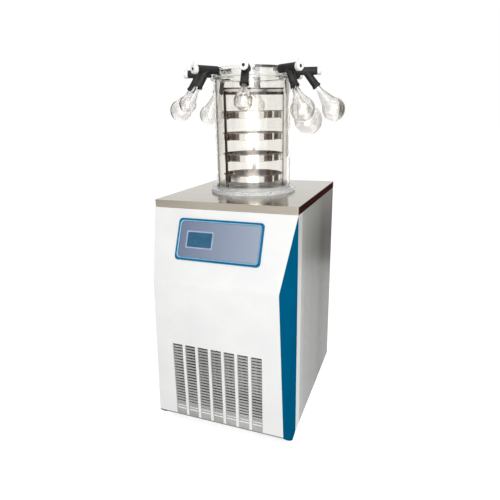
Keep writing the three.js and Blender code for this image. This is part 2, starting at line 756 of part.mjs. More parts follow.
function valve(i, parent) {
  const { tilt } = stations[i];
  const body = outwards(valveRadius, valveLength, tubeFacets).translate(valveInner, 0, 0);
  const branch = downBranch(rod(branchRootRadius, branchLength, tubeFacets, branchMouthRadius), tilt);
  const collar = downBranch(rod(mouthCollarRadius, mouthCollarLength, tubeFacets), tilt,
    branchLength - mouthCollarLength);
  const bore = outwards(valveBore, 3 * valveLength, tubeFacets).translate(valveInner - valveLength, 0, 0);
  const mouth = downBranch(rod(flaskNeckRadius + mouthClearance, 2 * mouthDepth, flaskFacets), tilt,
    branchLength - mouthDepth);
  const passage = downBranch(rod(valvePassage, branchLength, tubeFacets / 2), tilt);
  add(`valve_${i + 1}`, cut(join(body, branch, collar), bore, mouth, passage), plastic(black, 0.75),
    parent);
}

function knob(i, parent) {
  const start = valveInner + valveLength + gap;
  const disc = turned([
    [0, 0], [knobRadius, 0], [knobRadius, knobThickness - knobChamfer],
    [knobRadius - knobChamfer, knobThickness], [0, knobThickness],
  ], wheelFacets).rotateY(Math.PI / 2);
  const stemRadius = (valveBore - gap) * Math.cos(Math.PI / tubeFacets); // turns clear of the bore's flats
  const stem = outwards(stemRadius, knobStemLength + knobEyeDepth, tubeFacets)
    .translate(-knobStemLength, 0, 0);
  const tab = box(knobTabThickness, knobTabWidth, knobTabReach, knobThickness / 2, 0, 0);
  const eye = outwards(knobEyeRadius, knobThickness, tubeFacets)
    .translate(knobThickness - knobEyeDepth, 0, 0);
  const mesh = add(`knob_${i + 1}`, cut(join(disc, stem, tab), eye), plastic(0xf4f4f2, 0.35), parent);
  mesh.position.x = start;
}

// A flask hangs along +Z from its mouth: a straight neck, a shoulder and a round bulb
function flaskProfile({ bulb, length }, wall) {
  const neck = flaskNeckRadius - wall;
  const radius = bulb - wall;
  const centre = length - bulb;
  const arc = Array.from({ length: flaskArcSteps + 1 }, (_, i) => {
    const turn = radians(flaskShoulder) * (1 - i / flaskArcSteps);
    return [radius * Math.sin(turn), centre + radius * Math.cos(turn)];
  });
  return [[neck, 0], [neck, mouthDepth + flaskNeckShow], ...arc];
}

function flask(i, parent) {
  const { tilt } = stations[i];
  const outer = flaskProfile(stations[i], 0);
  const inner = flaskProfile(stations[i], flaskWall).reverse();
  const glass = turned([...outer, ...inner], flaskFacets);
  const geometry = downBranch(glass, tilt, branchLength - mouthDepth + gap);
  add(`flask_${i + 1}`, geometry, clear(0xf4f8f8, 0.3), parent);
}

// ---------- Rack and trays ----------
const rackTop = worktopTop + rackTopRise;
const rackPostRadius = trayRadius + rackPostClearance + rackPostThickness / 2;

// A folded bar between two points, with its web upright and its flanges turned to the left of its run
function rackBar(start, end) {
  const run = end.clone().sub(start);
  const web = box(run.length(), sheet, rackBarHeight, 0, 0, rackTop - rackBarHeight);
  const flanges = [rackTop - rackBarHeight, rackTop - sheet].map((z) =>
    box(run.length(), rackBarFlange, sheet, 0, (rackBarFlange - sheet) / 2, z));
  const [x, y] = start.clone().add(end).divideScalar(2).toArray();
  return [web, ...flanges].map((piece) => piece.rotateZ(run.angle()).translate(x, y, 0));
}

// Laid out with +X towards the side that the trays go in by. Two front posts and a rear one have a tab
// under each tray. A bar joins the front posts, and another runs back from its middle to the rear post.
function rack() {
  const foot = trapLipTop + gap;
  const turns = [-rackPostSpread, rackPostSpread, rackRearTurn].map(radians);
  const posts = turns.flatMap((turn) => {
    const post = box(rackPostThickness, rackPostWidth, rackTop - foot, rackPostRadius, 0, foot);
    const tabs = Array.from({ length: trayCount }, (_, i) => box(rackTabDepth, rackPostWidth,
      rackTabThickness, rackPostRadius - rackTabDepth / 2, 0, trayBottom(i) - gap - rackTabThickness));
    return [post, ...tabs].map((piece) => piece.rotateZ(turn));
  });
  const [right, left, rear] = turns.map((turn) =>
    new THREE.Vector2(Math.cos(turn), Math.sin(turn)).multiplyScalar(rackPostRadius));
  const middle = right.clone().add(left).divideScalar(2);
  const whole = join(...posts, ...rackBar(right, left), ...rackBar(middle, rear));
  add('rack', whole.rotateZ(radians(rackOpening)), metal(0x8d8a87, 0.3));
}

const trayBottom = (i) => worktopTop + firstTrayRise + i * trayPitch;

function tray(i) {
  const [r, h] = [trayRadius, trayHeight];
  const wall = r - trayRimWidth;
  const dish = turned([
    [0, 0], [wall, 0], [wall, h - trayWall], [r, h - trayWall], [r, h], [wall - trayWall, h],
    [wall - trayWall, trayWall], [0, trayWall],
  ], dishFacets);
  const mesh = add(`tray_${i + 1}`, dish, metal(0xa9a6a3, 0.25));
  mesh.position.z = trayBottom(i);
}

// ---------- Refrigeration ----------
const fanY = front + condenserSetback + condenserDepth; // the condenser's rear face
const fanZ = panFloor + gap + condenserHeight / 2;
const fanShaftStart = fanDepth - fanShaftOverlap;

// The fin block, with the fan's shroud and motor fixed behind it
function condenser() {
  const coreDepth = condenserDepth - finReach;
  const bottom = -condenserHeight / 2;
  const core = box(condenserWidth, coreDepth, condenserHeight, 0, -coreDepth / 2, bottom);
  const pitch = (condenserWidth - finThickness) / condenserFins;
  const fins = Array.from({ length: condenserFins + 1 }, (_, i) => box(finThickness, condenserDepth,
    condenserHeight, (i - condenserFins / 2) * pitch, -condenserDepth / 2, bottom));
  const mesh = add('condenser', join(core, ...fins, fanShroud()), metal(0x7d8082, 0.5));
  mesh.position.set(0, fanY, fanZ);
}

function fanShroud() {
  const block = box(condenserWidth, shroudDepth + shroudOverlap, condenserHeight, 0,
    (shroudDepth - shroudOverlap) / 2, -condenserHeight / 2);
  const tunnel = backwards(fanRadius + fanTipClearance, 3 * shroudDepth, dishFacets)
    .translate(0, -shroudDepth, 0);
  const motorStart = fanDepth + 2 * gap;
  const motor = backwards(fanMotorRadius, fanMotorDepth, wheelFacets).translate(0, motorStart, 0);
  const arms = Array.from({ length: fanArmCount }, (_, i) => box(fanArmWidth, fanArmThickness,
    fanRadius + 3 * fanTipClearance, 0, motorStart + fanArmThickness / 2, 0)
    .rotateY(radians((360 / fanArmCount) * i)));
  const shaftBore = backwards(fanShaftRadius + gap, fanShaftLength + 2 * gap, tubeFacets)
    .translate(0, fanShaftStart, 0);
  return cut(join(cut(block, tunnel), motor, ...arms), shaftBore);
}

function fan() {
  const hub = backwards(fanHubRadius, fanDepth - fanHubSetback, wheelFacets).translate(0, fanHubSetback, 0);
  const shaft = backwards(fanShaftRadius * Math.cos(Math.PI / tubeFacets), fanShaftLength, tubeFacets)
    .translate(0, fanShaftStart, 0);
  const root = fanHubRadius * Math.cos(radians(fanBladePitch)) - fanBladeOverlap;
  const blades = Array.from({ length: fanBlades }, (_, i) =>
    box(fanBladeWidth, fanBladeThickness, fanRadius - root)
      .rotateZ(radians(fanBladePitch)).translate(0, (fanDepth + fanHubSetback) / 2, root)
      .rotateY(radians((360 / fanBlades) * i)));
  const mesh = add('fan', join(hub, shaft, ...blades), metal(0x9a9c9e, 0.4));
  mesh.position.set(0, fanY, fanZ);
}

// A welded shell with a domed top, on a flat base
function compressor() {
  const [r, h] = [compressorRadius, compressorHeight];
  const dome = Array.from({ length: compressorDomeSteps + 1 }, (_, i) => {
    const turn = (Math.PI / 2) * (i / compressorDomeSteps);
    return [r * Math.cos(turn), h - compressorDome * (1 - Math.sin(turn))];
  });
  const foot = compressorBaseHeight / 2;
  const shell = turned(
    [[0, foot], [r - compressorHeel, foot], [r, foot + compressorHeel], ...dome], dishFacets);
  const base = box(compressorBaseWidth, compressorBaseDepth, compressorBaseHeight);
  const mesh = add('compressor', join(shell, base), metal(0x202224, 0.5));
  mesh.position.set(0, back - compressorSetback, panFloor + gap);
}

// ---------- Assembly ----------
basePan();
feet();
sidePanel(-1);
sidePanel(1);
backPanel();
mainsInlet();
frontFrame();
frontCover();
grillePanel();
flank(-1);
flank(1);
controlPanel();
worktop();
coldTrap();
trapCoil();
trapJacket();
vacuumPipe();
chamber();
lid();
for (let i = 0; i < portCount; i += 1) {
  const parent = station(i);
  valve(i, parent);
  knob(i, parent);
  flask(i, parent);
}
rack();
for (let i = 0; i < trayCount; i += 1) tray(i);
condenser();
fan();
compressor();

const freezeDryer = new THREE.Group();
freezeDryer.add(dryer);
const extent = new THREE.Box3().setFromObject(freezeDryer, true);
const middle = extent.getCenter(new THREE.Vector3());
dryer.position.set(-middle.x, -middle.y, -extent.min.z);
freezeDryer.updateMatrixWorld(true);

export default freezeDryer;
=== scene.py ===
"""A floor-standing laboratory freeze dryer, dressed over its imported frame.

Pieces are shaped in millimetres round the drying chamber's axis, with the floor at z = 0 and the
control panel facing -Y, and are brought into the frame, in metres, when they are finished.
"""
from math import atan2, cos, degrees, hypot, pi, radians, sin

import bmesh
import bpy
from mathutils import Matrix, Vector


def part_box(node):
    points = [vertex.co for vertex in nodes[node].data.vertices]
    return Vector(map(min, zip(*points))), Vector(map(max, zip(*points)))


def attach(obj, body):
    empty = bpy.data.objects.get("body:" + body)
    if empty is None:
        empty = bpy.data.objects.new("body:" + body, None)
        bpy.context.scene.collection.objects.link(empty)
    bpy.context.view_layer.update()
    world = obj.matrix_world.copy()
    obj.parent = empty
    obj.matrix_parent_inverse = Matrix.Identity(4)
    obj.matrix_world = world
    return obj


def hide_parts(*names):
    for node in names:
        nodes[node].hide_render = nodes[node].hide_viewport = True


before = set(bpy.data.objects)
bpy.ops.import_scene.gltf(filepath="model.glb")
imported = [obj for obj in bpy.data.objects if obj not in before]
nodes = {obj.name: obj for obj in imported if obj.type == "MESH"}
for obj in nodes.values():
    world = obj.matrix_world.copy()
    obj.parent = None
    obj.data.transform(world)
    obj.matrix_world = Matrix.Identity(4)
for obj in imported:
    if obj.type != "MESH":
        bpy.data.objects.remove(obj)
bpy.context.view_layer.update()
MM = 0.001


# ---------- Sizes, from the frame where it has them ----------
def box_mm(node):
    """A node's lowest and highest corner in the frame, in millimetres."""
    low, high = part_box(node)
    return low / MM, high / MM


def middle(node):
    low, high = box_mm(node)
    return (low + high) / 2


AXIS = Vector((middle("chamber").x, middle("chamber").y, 0))  # the chamber's axis, in the frame


def span(node):
    """A node's lowest and highest corner from the chamber's axis."""
    low, high = box_mm(node)
    return low - AXIS, high - AXIS


GAP = 0.3  # the clearance between pieces
SHARP_CORNER = 40  # degrees
SHEET = 1.5  # the thickness of the folded sheets
WORKTOP_TOP = span("worktop")[1].z
SIDE = span("side_panel_right")[1].x
FRONT = span("front_frame")[0].y
CABINET_BOTTOM = span("front_frame")[0].z
CABINET_TOP = span("front_frame")[1].z
# painted light: the side panels are painted paler from this height up to the worktop
SIDE_PAINTED_LIGHT_START = 560  # where the side panels start to turn paler

COVER_LOW, COVER_HIGH = span("front_cover")
COVER_FACE = COVER_LOW.y
COVER_ROOT = FRONT - GAP - SHEET
COVER_CREASE_DROP = 203
COVER_CREASE = CABINET_TOP - COVER_CREASE_DROP
COVER_CREASE_INSET = 29
COVER_BOTTOM_INSET = 14.5
COVER_RETURN, COVER_RELIEF = 20, 8
COVER_CREASE_ROUND, COVER_FOLD_ROUND = 9, 3
# painted shade: the front cover's coat is grey below this height, along its folded lower edge
COVER_SHADED_HEM, SHADED_HEM_FADE = COVER_LOW.z + 7, 2
COVER_TILT = atan2(COVER_ROOT - COVER_FACE, COVER_HIGH.z - COVER_CREASE)

GRILLE_COLUMNS = 7
GRILLE_PITCH = 42.7
WINDOW_WIDTH = 34.2
WINDOW_HEIGHT = 250
WINDOW_RISE = 6
WINDOW_CORNER = 1.6

WORKTOP_BAND, WORKTOP_LIP, WORKTOP_CORNER = 22, 12, 5
FOOT_PROFILE = ((0, 0), (18, 0), (20, 2), (19.4, 8), (15, 24.7), (0, 24.7))

PANEL_WIDTH, PANEL_HEIGHT, PANEL_CORNER = 266, 124, 11
PANEL_TOP_DROP = 28
BEZEL_WIDTH, BEZEL_HEIGHT = 9, 4
FILM_CORNER, FILM_HEIGHT = 4, 1.6
DISPLAY_WIDTH, DISPLAY_HEIGHT, DISPLAY_OFFSET, DISPLAY_CORNER = 86, 52, -60, 3

CHAMBER_LOW, CHAMBER_HIGH = span("chamber")
CHAMBER_RADIUS, CHAMBER_WALL = 122.5, 10
FLANGE_RADIUS, FLANGE_HEIGHT = 140.5, 7
FROST_LOW, FROST_HIGH = 10, 22  # where the tube's frosted foot turns clear
TRAP_RADIUS, TRAP_LIP_RADIUS = 90, 111
TRAP_FLOOR = span("cold_trap")[0].z
COIL_TURNS, COIL_RADIUS = 5, 4
LID_LOW = span("manifold_lid")[0]
LID_RADIUS, LID_WALL, LID_SPIGOT, LID_FLANGE = 114, 9, 8, 6
LID_ROOF, LID_HEIGHT, LID_BRIM = 7, 27, 1.5
LID_BOTTOM = LID_LOW.z + LID_SPIGOT

PORTS = 8
PORT_PHASE = 14.3
PORT_Z = LID_BOTTOM + 15
PORT_RADIUS, PORT_BORE, PORT_REACH = 7, 4.5, 30
VALVE_START = LID_RADIUS + 16
VALVE_LENGTH, VALVE_RADIUS = 74, 12
BRANCH_OFFSET, BRANCH_LENGTH = 38, 61
BRANCH_ROOT, BRANCH_MOUTH = 10.8, 12.2
COLLAR_RADIUS, COLLAR_LENGTH = 13.6, 7
MOUTH_DEPTH = 22
KNOB_RADIUS, KNOB_THICKNESS = 13, 13
STEM_RADIUS, STEM_LENGTH = 6.6, 20
EYE_RADIUS, EYE_DEPTH = 4.4, 3
KNOB_TAB = (4, 7, 19)
NECK_RADIUS, NECK_SHOW, FLASK_WALL = 9.6, 13, 1.6
SHOULDER = 138
FLASKS = ((37, 144, 38), (51, 185, 31), (26, 102, 36), (37, 144, 32),
          (35, 125, 31), (25, 106, 36), (26, 102, 36), (35, 125, 27))  # bulb, length, droop

TRAY_RADIUS, TRAY_HEIGHT, TRAYS = 96.5, 22, 4
TRAY_RIM, TRAY_SHEET = 2.4, 1.2
RACK_OPENING, RACK_SPREAD, RACK_REAR = -54.3, 72.7, 162.3
RACK_TOP = WORKTOP_TOP + 323
POST_RADIUS, POST_THICKNESS, POST_WIDTH = 99.3, 3, 12
TAB_REACH = 9
BAR_HEIGHT, BAR_FLANGE = 21, 9
# painted light: the rear post's steel is painted bright between these depths
REAR_LIGHT_LOW, REAR_LIGHT_HIGH = 70, 84  # where the rack's steel turns bright

PIPE_BORE, PIPE_RADIUS, PIPE_FLANGE = 10.5, 12, 20
SCREW_RADIUS, SCREW_HEIGHT, SCREW_INSET, SCREW_MARGIN = 4, 1.8, 12, 20

CARD_DISTANCE = 1.6  # metres
WORLD_LIGHT, FLOOR_GLOW = 0.42, 0.7
CAMERA_PLACE = Vector((511.2, -1387.4, WORKTOP_TOP + 232.3))


# ---------- Finishes ----------
def colour(red, green, blue):
    """A colour as it is seen, 0 to 255, for the shader."""
    def linear(value):
        value /= 255
        return value / 12.92 if value <= 0.04045 else ((value + 0.055) / 1.055) ** 2.4
    return linear(red), linear(green), linear(blue), 1.0


class Finish:
    """A material whose colour, roughness and relief follow grain in the object's own coordinates."""

    def __init__(self, name, **values):
        self.material = bpy.data.materials.new(name)
        self.material.use_nodes = True
        self.tree = self.material.node_tree
        self.shader = self.tree.nodes["Principled BSDF"]
        for key, value in values.items():
            self.shader.inputs[key.replace("_", " ")].default_value = value
        self.place = self.node("ShaderNodeTexCoord").outputs["Object"]

    def node(self, kind, **values):
        """A new node with its settings."""
        made = self.tree.nodes.new(kind)
        for key, value in values.items():
            setattr(made, key, value)
        return made

    def link(self, source, target):
        self.tree.links.new(source, target)

    def grain(self, size, stretch=(1, 1, 1), detail=4.0, rough=0.55):
        """Noise whose features are about size metres across, drawn out along the axes with small stretch."""
        mapping = self.node("ShaderNodeMapping")
        mapping.inputs["Scale"].default_value = stretch
        noise = self.node("ShaderNodeTexNoise")
        noise.inputs["Scale"].default_value = 1 / size
        noise.inputs["Detail"].default_value = detail
        noise.inputs["Roughness"].default_value = rough
        self.link(self.place, mapping.inputs["Vector"])
        self.link(mapping.outputs["Vector"], noise.inputs["Vector"])
        return noise.outputs["Fac"]

    def tint(self, factor, dark, light, low=0.35, high=0.65):
        """Colour from dark to light."""
        ramp = self.node("ShaderNodeValToRGB")
        ramp.color_ramp.elements[0].position, ramp.color_ramp.elements[1].position = low, high
        ramp.color_ramp.elements[0].color, ramp.color_ramp.elements[1].color = dark, light
        self.link(factor, ramp.inputs["Fac"])
        self.link(ramp.outputs["Color"], self.shader.inputs["Base Color"])
        self.ramp = ramp
        return self

    def ramp_along(self, axis, low, high, start=0.0, end=1.0, shape="SMOOTHSTEP"):
        """A value from start to end, between two heights or places in millimetres along an axis."""
        axes = self.node("ShaderNodeSeparateXYZ")
        self.link(self.place, axes.inputs["Vector"])
        along = self.node("ShaderNodeMapRange", interpolation_type=shape)
        for socket, value in (("From Min", low * MM), ("From Max", high * MM),
                              ("To Min", start), ("To Max", end)):
            along.inputs[socket].default_value = value
        self.link(axes.outputs[axis], along.inputs["Value"])
        return along.outputs["Result"]

    def wavered(self, factor, amount, noise):
        """A value made a little uneven by noise."""
        mixed = self.node("ShaderNodeMath", operation="MULTIPLY_ADD")
        mixed.inputs[1].default_value = amount
        self.link(noise, mixed.inputs[0])
        self.link(factor, mixed.inputs[2])
        return mixed.outputs["Value"]

    def blend(self, factor, other):
        """Mixes another colour over the base colour as the factor rises."""
        mix = self.node("ShaderNodeMix", data_type="RGBA")
        self.link(factor, mix.inputs["Factor"])
        base = self.shader.inputs["Base Color"]
        before, over, result = mix.inputs[6], mix.inputs[7], mix.outputs[2]  # the sockets for colours
        self.link(base.links[0].from_socket, before)
        over.default_value = other
        self.link(result, base)
        return self

    def sheen_spread(self, factor, low, high):
        """Roughness from low to high."""
        spread = self.node("ShaderNodeMapRange")
        spread.inputs["From Min"].default_value, spread.inputs["From Max"].default_value = 0.3, 0.7
        spread.inputs["To Min"].default_value, spread.inputs["To Max"].default_value = low, high
        self.link(factor, spread.inputs["Value"])
        self.link(spread.outputs["Result"], self.shader.inputs["Roughness"])
        return self

    def relief(self, factor, height, strength):
        """Fine bumps, at most a height in metres."""
        bump = self.node("ShaderNodeBump")
        bump.inputs["Strength"].default_value = strength
        bump.inputs["Distance"].default_value = height
        self.link(factor, bump.inputs["Height"])
        self.link(bump.outputs["Normal"], self.shader.inputs["Normal"])
        return self


def powder_coat(name, dark, light, roughness=0.38, gloss=0.45, shaded_hem=None):
    """Painted sheet. If a height is given, the coat below it is grey: painted shade along the folded lower
    edge.
    """
    finish = Finish(name, Specular_IOR_Level=gloss)
    finish.tint(finish.grain(0.12, detail=3), dark, light)
    if shaded_hem:
        # painted shade: grey below the given height
        finish.blend(finish.ramp_along("Z", shaded_hem, shaded_hem - SHADED_HEM_FADE), colour(128, 124, 122))
    finish.sheen_spread(finish.grain(0.03), roughness - 0.05, roughness + 0.06)
    return finish.relief(finish.grain(0.0016, detail=2), 0.00012, 0.35).material


def brushed(name, dark, light, roughness, along=(0.03, 1, 1), size=0.0018, relief=0.25):
    """Metal with streaks, drawn out along the axis that has the small number."""
    finish = Finish(name, Metallic=1.0)
    streaks = finish.grain(size, along, detail=5, rough=0.7)
    finish.tint(streaks, dark, light, 0.3, 0.7)
    finish.sheen_spread(finish.grain(size * 6, along), roughness * 0.75, roughness * 1.4)
    return finish.relief(streaks, 0.00004, relief).material


def moulded(name, dark, light, roughness, size=0.0009, height=0.00008, **values):
    """Plastic, rubber or foam with a fine pebble."""
    finish = Finish(name, **values)
    finish.tint(finish.grain(0.02, detail=6), dark, light)
    finish.sheen_spread(finish.grain(0.006), roughness - 0.06, roughness + 0.08)
    return finish.relief(finish.grain(size, detail=3), height, 0.4).material


def clear(name, dark, light, ior, roughness, coat=1.0, through=1.0):
    """Glass or acrylic; less than 1 through makes it milky."""
    finish = Finish(name, Transmission_Weight=through, IOR=ior, Coat_Weight=coat, Coat_Roughness=0.02)
    finish.tint(finish.grain(0.05, detail=2), dark, light)
    return finish.sheen_spread(finish.grain(0.02), roughness * 0.6, roughness * 1.5).material


WHITE_COAT = powder_coat("white_powder_coat", colour(226, 227, 226), colour(233, 233, 231))
# the front cover's coat, with painted shade along its lower edge
COVER_COAT = powder_coat("cover_powder_coat", colour(226, 227, 226), colour(233, 233, 231),
                         shaded_hem=COVER_SHADED_HEM)
BLUE_COAT = powder_coat("blue_powder_coat", colour(0, 91, 129), colour(0, 96, 136), 0.5, 0.0)
GRILLE_COAT = powder_coat("grey_grille_coat", colour(150, 149, 147), colour(176, 175, 172), 0.5)
WORKTOP_STEEL = brushed("worktop_brushed_steel", colour(166, 159, 146), colour(178, 171, 158), 0.16)
TRAP_STEEL = brushed("trap_steel", colour(196, 198, 200), colour(224, 225, 226), 0.4, (1, 1, 0.06))
TRAY_STEEL = brushed("tray_steel", colour(234, 230, 226), colour(246, 243, 239), 0.08, (1, 1, 0.1),
                     relief=0.04)
# painted shade: a darker copy of the tray steel for the inside of the pans
TRAY_SHADED_INSIDE = brushed("tray_inside_painted_shade_steel", colour(172, 165, 158), colour(194, 187, 180), 0.18, (1, 1, 0.1),
                      relief=0.06)
PIPE_STEEL = brushed("pipe_steel", colour(170, 171, 172), colour(205, 205, 206), 0.28, (1, 0.05, 1))
ACRYLIC = clear("clear_acrylic", colour(249, 249, 245), colour(253, 253, 250), 1.22, 0.02)
FROSTED = clear("frosted_acrylic", colour(244, 247, 249), colour(252, 253, 254), 1.18, 0.3,
                coat=0.3, through=0.55)
LAB_GLASS = clear("laboratory_glass", colour(243, 241, 239), colour(250, 249, 247), 1.42, 0.01)
RUBBER = moulded("valve_rubber", colour(22, 22, 23), colour(44, 43, 43), 0.62,
                 Specular_IOR_Level=0.35)
KNOB_WHITE = moulded("knob_white_plastic", colour(240, 240, 237), colour(247, 247, 244), 0.25)
BEZEL_BLUE = moulded("bezel_blue_plastic", colour(0, 94, 134), colour(0, 102, 143), 0.4,
                     Specular_IOR_Level=0.15)
# painted highlight: pale blue for the bezel's inner bevel
BEZEL_HIGHLIGHT_EDGE = moulded("bezel_edge_painted_highlight", colour(112, 168, 196), colour(128, 182, 207), 0.3)
SEAL_WHITE = moulded("seal_silicone", colour(228, 230, 231), colour(240, 241, 242), 0.5)
BLACK_PLASTIC = moulded("black_plastic", colour(24, 24, 25), colour(40, 40, 41), 0.5)
FOOT_RUBBER = moulded("foot_rubber", colour(26, 26, 27), colour(46, 46, 46), 0.8)
FOAM = moulded("jacket_foam", colour(204, 192, 152), colour(224, 214, 180), 0.9, 0.002, 0.0006)
PAN_STEEL = brushed("pan_galvanised_steel", colour(132, 135, 137), colour(172, 175, 177), 0.5, (1, 1, 1),
                    0.012)
FIN_METAL = brushed("fin_aluminium", colour(140, 142, 144), colour(186, 188, 190), 0.4, (1, 1, 0.1))
ENAMEL = moulded("compressor_enamel", colour(20, 21, 22), colour(34, 35, 37), 0.35)
SCREW_STEEL = brushed("screw_steel", colour(150, 150, 150), colour(200, 200, 200), 0.3, (1, 1, 1), 0.002)


def membrane_film():
    """Printed film, darker at the left and paler at the right, with a fine tooth."""
    finish = Finish("membrane_film", Specular_IOR_Level=0.15)
    across = finish.ramp_along("X", AXIS.x - PANEL_WIDTH / 2, AXIS.x + PANEL_WIDTH / 2, shape="LINEAR")
    finish.tint(finish.wavered(across, 0.12, finish.grain(0.02)),
                colour(107, 118, 141), colour(149, 158, 176), 0.0, 1.1)
    finish.sheen_spread(finish.grain(0.01), 0.38, 0.5)
    return finish.relief(finish.grain(0.0012, detail=2), 0.00008, 0.3).material


def display_glass():
    """Tinted glass with faint lines."""
    finish = Finish("display_glass", Specular_IOR_Level=0.2)
    finish.tint(finish.grain(0.03, detail=3), colour(40, 88, 115), colour(52, 100, 127))
    finish.sheen_spread(finish.grain(0.01), 0.12, 0.22)
    return finish.relief(finish.grain(0.0011, (1, 6, 6), 1), 0.00003, 0.2).material


def side_painted_shade_coat():
    """A white coat painted grey with shade, in broad upright stripes of painted shade along the sheet, and
    with painted light that makes it paler towards the top.
    """
    finish = Finish("side_panel_painted_shade_coat", Specular_IOR_Level=0.2)
    low, high = box_mm("side_panel_right")
    along = finish.ramp_along("Y", low.y, high.y, shape="LINEAR")
    painted_bands = finish.node("ShaderNodeValToRGB")
    painted_bands.color_ramp.interpolation = "EASE"
    # painted shade: the grey of each upright stripe along the sheet
    shade_tones = ((0.02, 188), (0.08, 176), (0.14, 162), (0.4, 146), (0.66, 122), (0.9, 134), (1, 136))
    for position, _ in shade_tones[1:-1]:
        painted_bands.color_ramp.elements.new(position)
    for element, (position, tone) in zip(painted_bands.color_ramp.elements, shade_tones):
        element.position, element.color = position, colour(tone, tone + 2, tone - 2)
    finish.link(finish.wavered(along, 0.04, finish.grain(0.3, (1, 1, 0.3))), painted_bands.inputs["Fac"])
    finish.link(painted_bands.outputs["Color"], finish.shader.inputs["Base Color"])
    # painted light: paler towards the worktop
    finish.blend(finish.ramp_along("Z", SIDE_PAINTED_LIGHT_START, WORKTOP_TOP, end=0.4), colour(205, 206, 202))
    finish.sheen_spread(finish.grain(0.03), 0.3, 0.4)
    return finish.relief(finish.grain(0.0016, detail=2), 0.00012, 0.35).material


def tube_acrylic():
    """Clear acrylic whose foot, where it is bonded in, is frosted."""
    finish = Finish("chamber_tube_acrylic", IOR=1.16, Coat_Weight=1.0, Coat_Roughness=0.02)
    finish.tint(finish.grain(0.05, detail=2), colour(249, 247, 242), colour(253, 252, 249))
    for socket, frosted, polished in (("Roughness", 0.5, 0.015), ("Transmission Weight", 0.6, 1.0)):
        foot = finish.ramp_along("Z", CHAMBER_LOW.z + FROST_LOW, CHAMBER_LOW.z + FROST_HIGH,
                                 frosted, polished)
        finish.link(foot, finish.shader.inputs[socket])
    return finish.material


def rack_steel_painted_light():
    """Steel painted dark, as painted reflection of dark surroundings, with a painted highlight along the
    middle of the top bars and painted light on the rear post.
    """
    finish = Finish("rack_steel_painted_light", Metallic=1.0)
    height = finish.ramp_along("Z", RACK_TOP - BAR_HEIGHT - 4, RACK_TOP, shape="LINEAR")
    uneven = finish.wavered(height, 0.04, finish.grain(0.003, (1, 1, 0.05)))
    # painted reflection and highlight: dark steel with a bright stripe along the middle of the top bars
    painted_bands = finish.tint(uneven, colour(97, 89, 83), colour(72, 62, 58), 0.12, 1).ramp.color_ramp
    for position, tone in ((0.2, 62), (0.48, 66), (0.56, 200), (0.8, 206), (0.87, 78)):
        painted_bands.elements.new(position).color = colour(tone, tone - 6, tone - 9)
    # painted light: the rear post is painted bright
    finish.blend(finish.ramp_along("Y", AXIS.y + REAR_LIGHT_LOW, AXIS.y + REAR_LIGHT_HIGH), colour(214, 208, 201))
    finish.sheen_spread(finish.grain(0.02, (1, 1, 0.1)), 0.12, 0.22)
    return finish.relief(finish.grain(0.0018, (1, 1, 0.05)), 0.00004, 0.1).material


RACK_PAINTED_STEEL = rack_steel_painted_light()
TUBE_ACRYLIC = tube_acrylic()
SIDE_SHADED_COAT = side_painted_shade_coat()
MEMBRANE = membrane_film()
DISPLAY_GLASS = display_glass()
DISPLAY_BORDER = moulded("display_border", colour(154, 164, 192), colour(166, 176, 203), 0.4,
                         Specular_IOR_Level=0.2)


# ---------- Making pieces ----------
TO_FRAME = Matrix.Scale(MM, 4) @ Matrix.Translation(AXIS)


def placed(name, bm):
    """A new object from a bmesh, which is used up."""
    mesh = bpy.data.meshes.new(name)
    bm.to_mesh(mesh)
    bm.free()
    made = bpy.data.objects.new(name, mesh)
    bpy.context.scene.collection.objects.link(made)
    return made


def smooth_faces(bm, sharp):
    """Smooth faces, with sharp edges where the faces meet at more than an angle."""
    for face in bm.faces:
        face.smooth = True
    for edge in bm.edges:
        edge.smooth = not (len(edge.link_faces) == 2 and edge.calc_face_angle(0) > radians(sharp))


def finished(name, bm, materials, replaced=None, body="dryer", sharp=35, wall=0, smooth=True,
             even=True):
    """Turns a bmesh in millimetres round the chamber's axis into a piece of the frame.

    A bare surface gets a wall's thickness behind it, in the last of the materials.
    """
    bmesh.ops.transform(bm, matrix=TO_FRAME, verts=bm.verts)
    if smooth:
        smooth_faces(bm, sharp)
    piece = placed(name, bm)
    for material in materials if isinstance(materials, list) else [materials]:
        piece.data.materials.append(material)
    if wall:
        behind = piece.modifiers.new("wall", "SOLIDIFY")
        behind.thickness, behind.offset, behind.use_even_offset = wall * MM, -1, True
        behind.material_offset = len(piece.data.materials) - 1
    if smooth and even:
        piece.modifiers.new("even_shading", "WEIGHTED_NORMAL").keep_sharp = True
    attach(piece, body)
    if replaced:
        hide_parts(replaced)
    return piece


def shut(bm):
    """Joins corners that meet and turns all faces the same way out."""
    bmesh.ops.remove_doubles(bm, verts=bm.verts, dist=0.001)
    bmesh.ops.recalc_face_normals(bm, faces=bm.faces)
    return bm


def turn_over(bm):
    """Turns every face the other way out."""
    bmesh.ops.reverse_faces(bm, faces=bm.faces)


def verts_of(made):
    """The corners that an operator made."""
    return [g for g in made["geom"] if isinstance(g, bmesh.types.BMVert)]


def edges_of(made):
    """The edges that an operator made."""
    return [g for g in made["geom"] if isinstance(g, bmesh.types.BMEdge)]


def near(value, other):
    """Whether two lengths in millimetres are the same."""
    return abs(value - other) < 0.01


def line(bm, points, closed=False):
    """Edges along a line of points. Returns the points' corners."""
    verts = [bm.verts.new(point) for point in points]
    for pair in zip(verts, verts[1:]):
        bm.edges.new(pair)
    if closed:
        bm.edges.new((verts[-1], verts[0]))
    return verts


def rounded(bm, verts, radius, segments=3):
    """Rounds the corners of an open line or sheet."""
    if radius:
        bmesh.ops.bevel(bm, geom=verts, offset=radius, segments=segments, profile=0.5,
                        affect="VERTICES", material=-1)


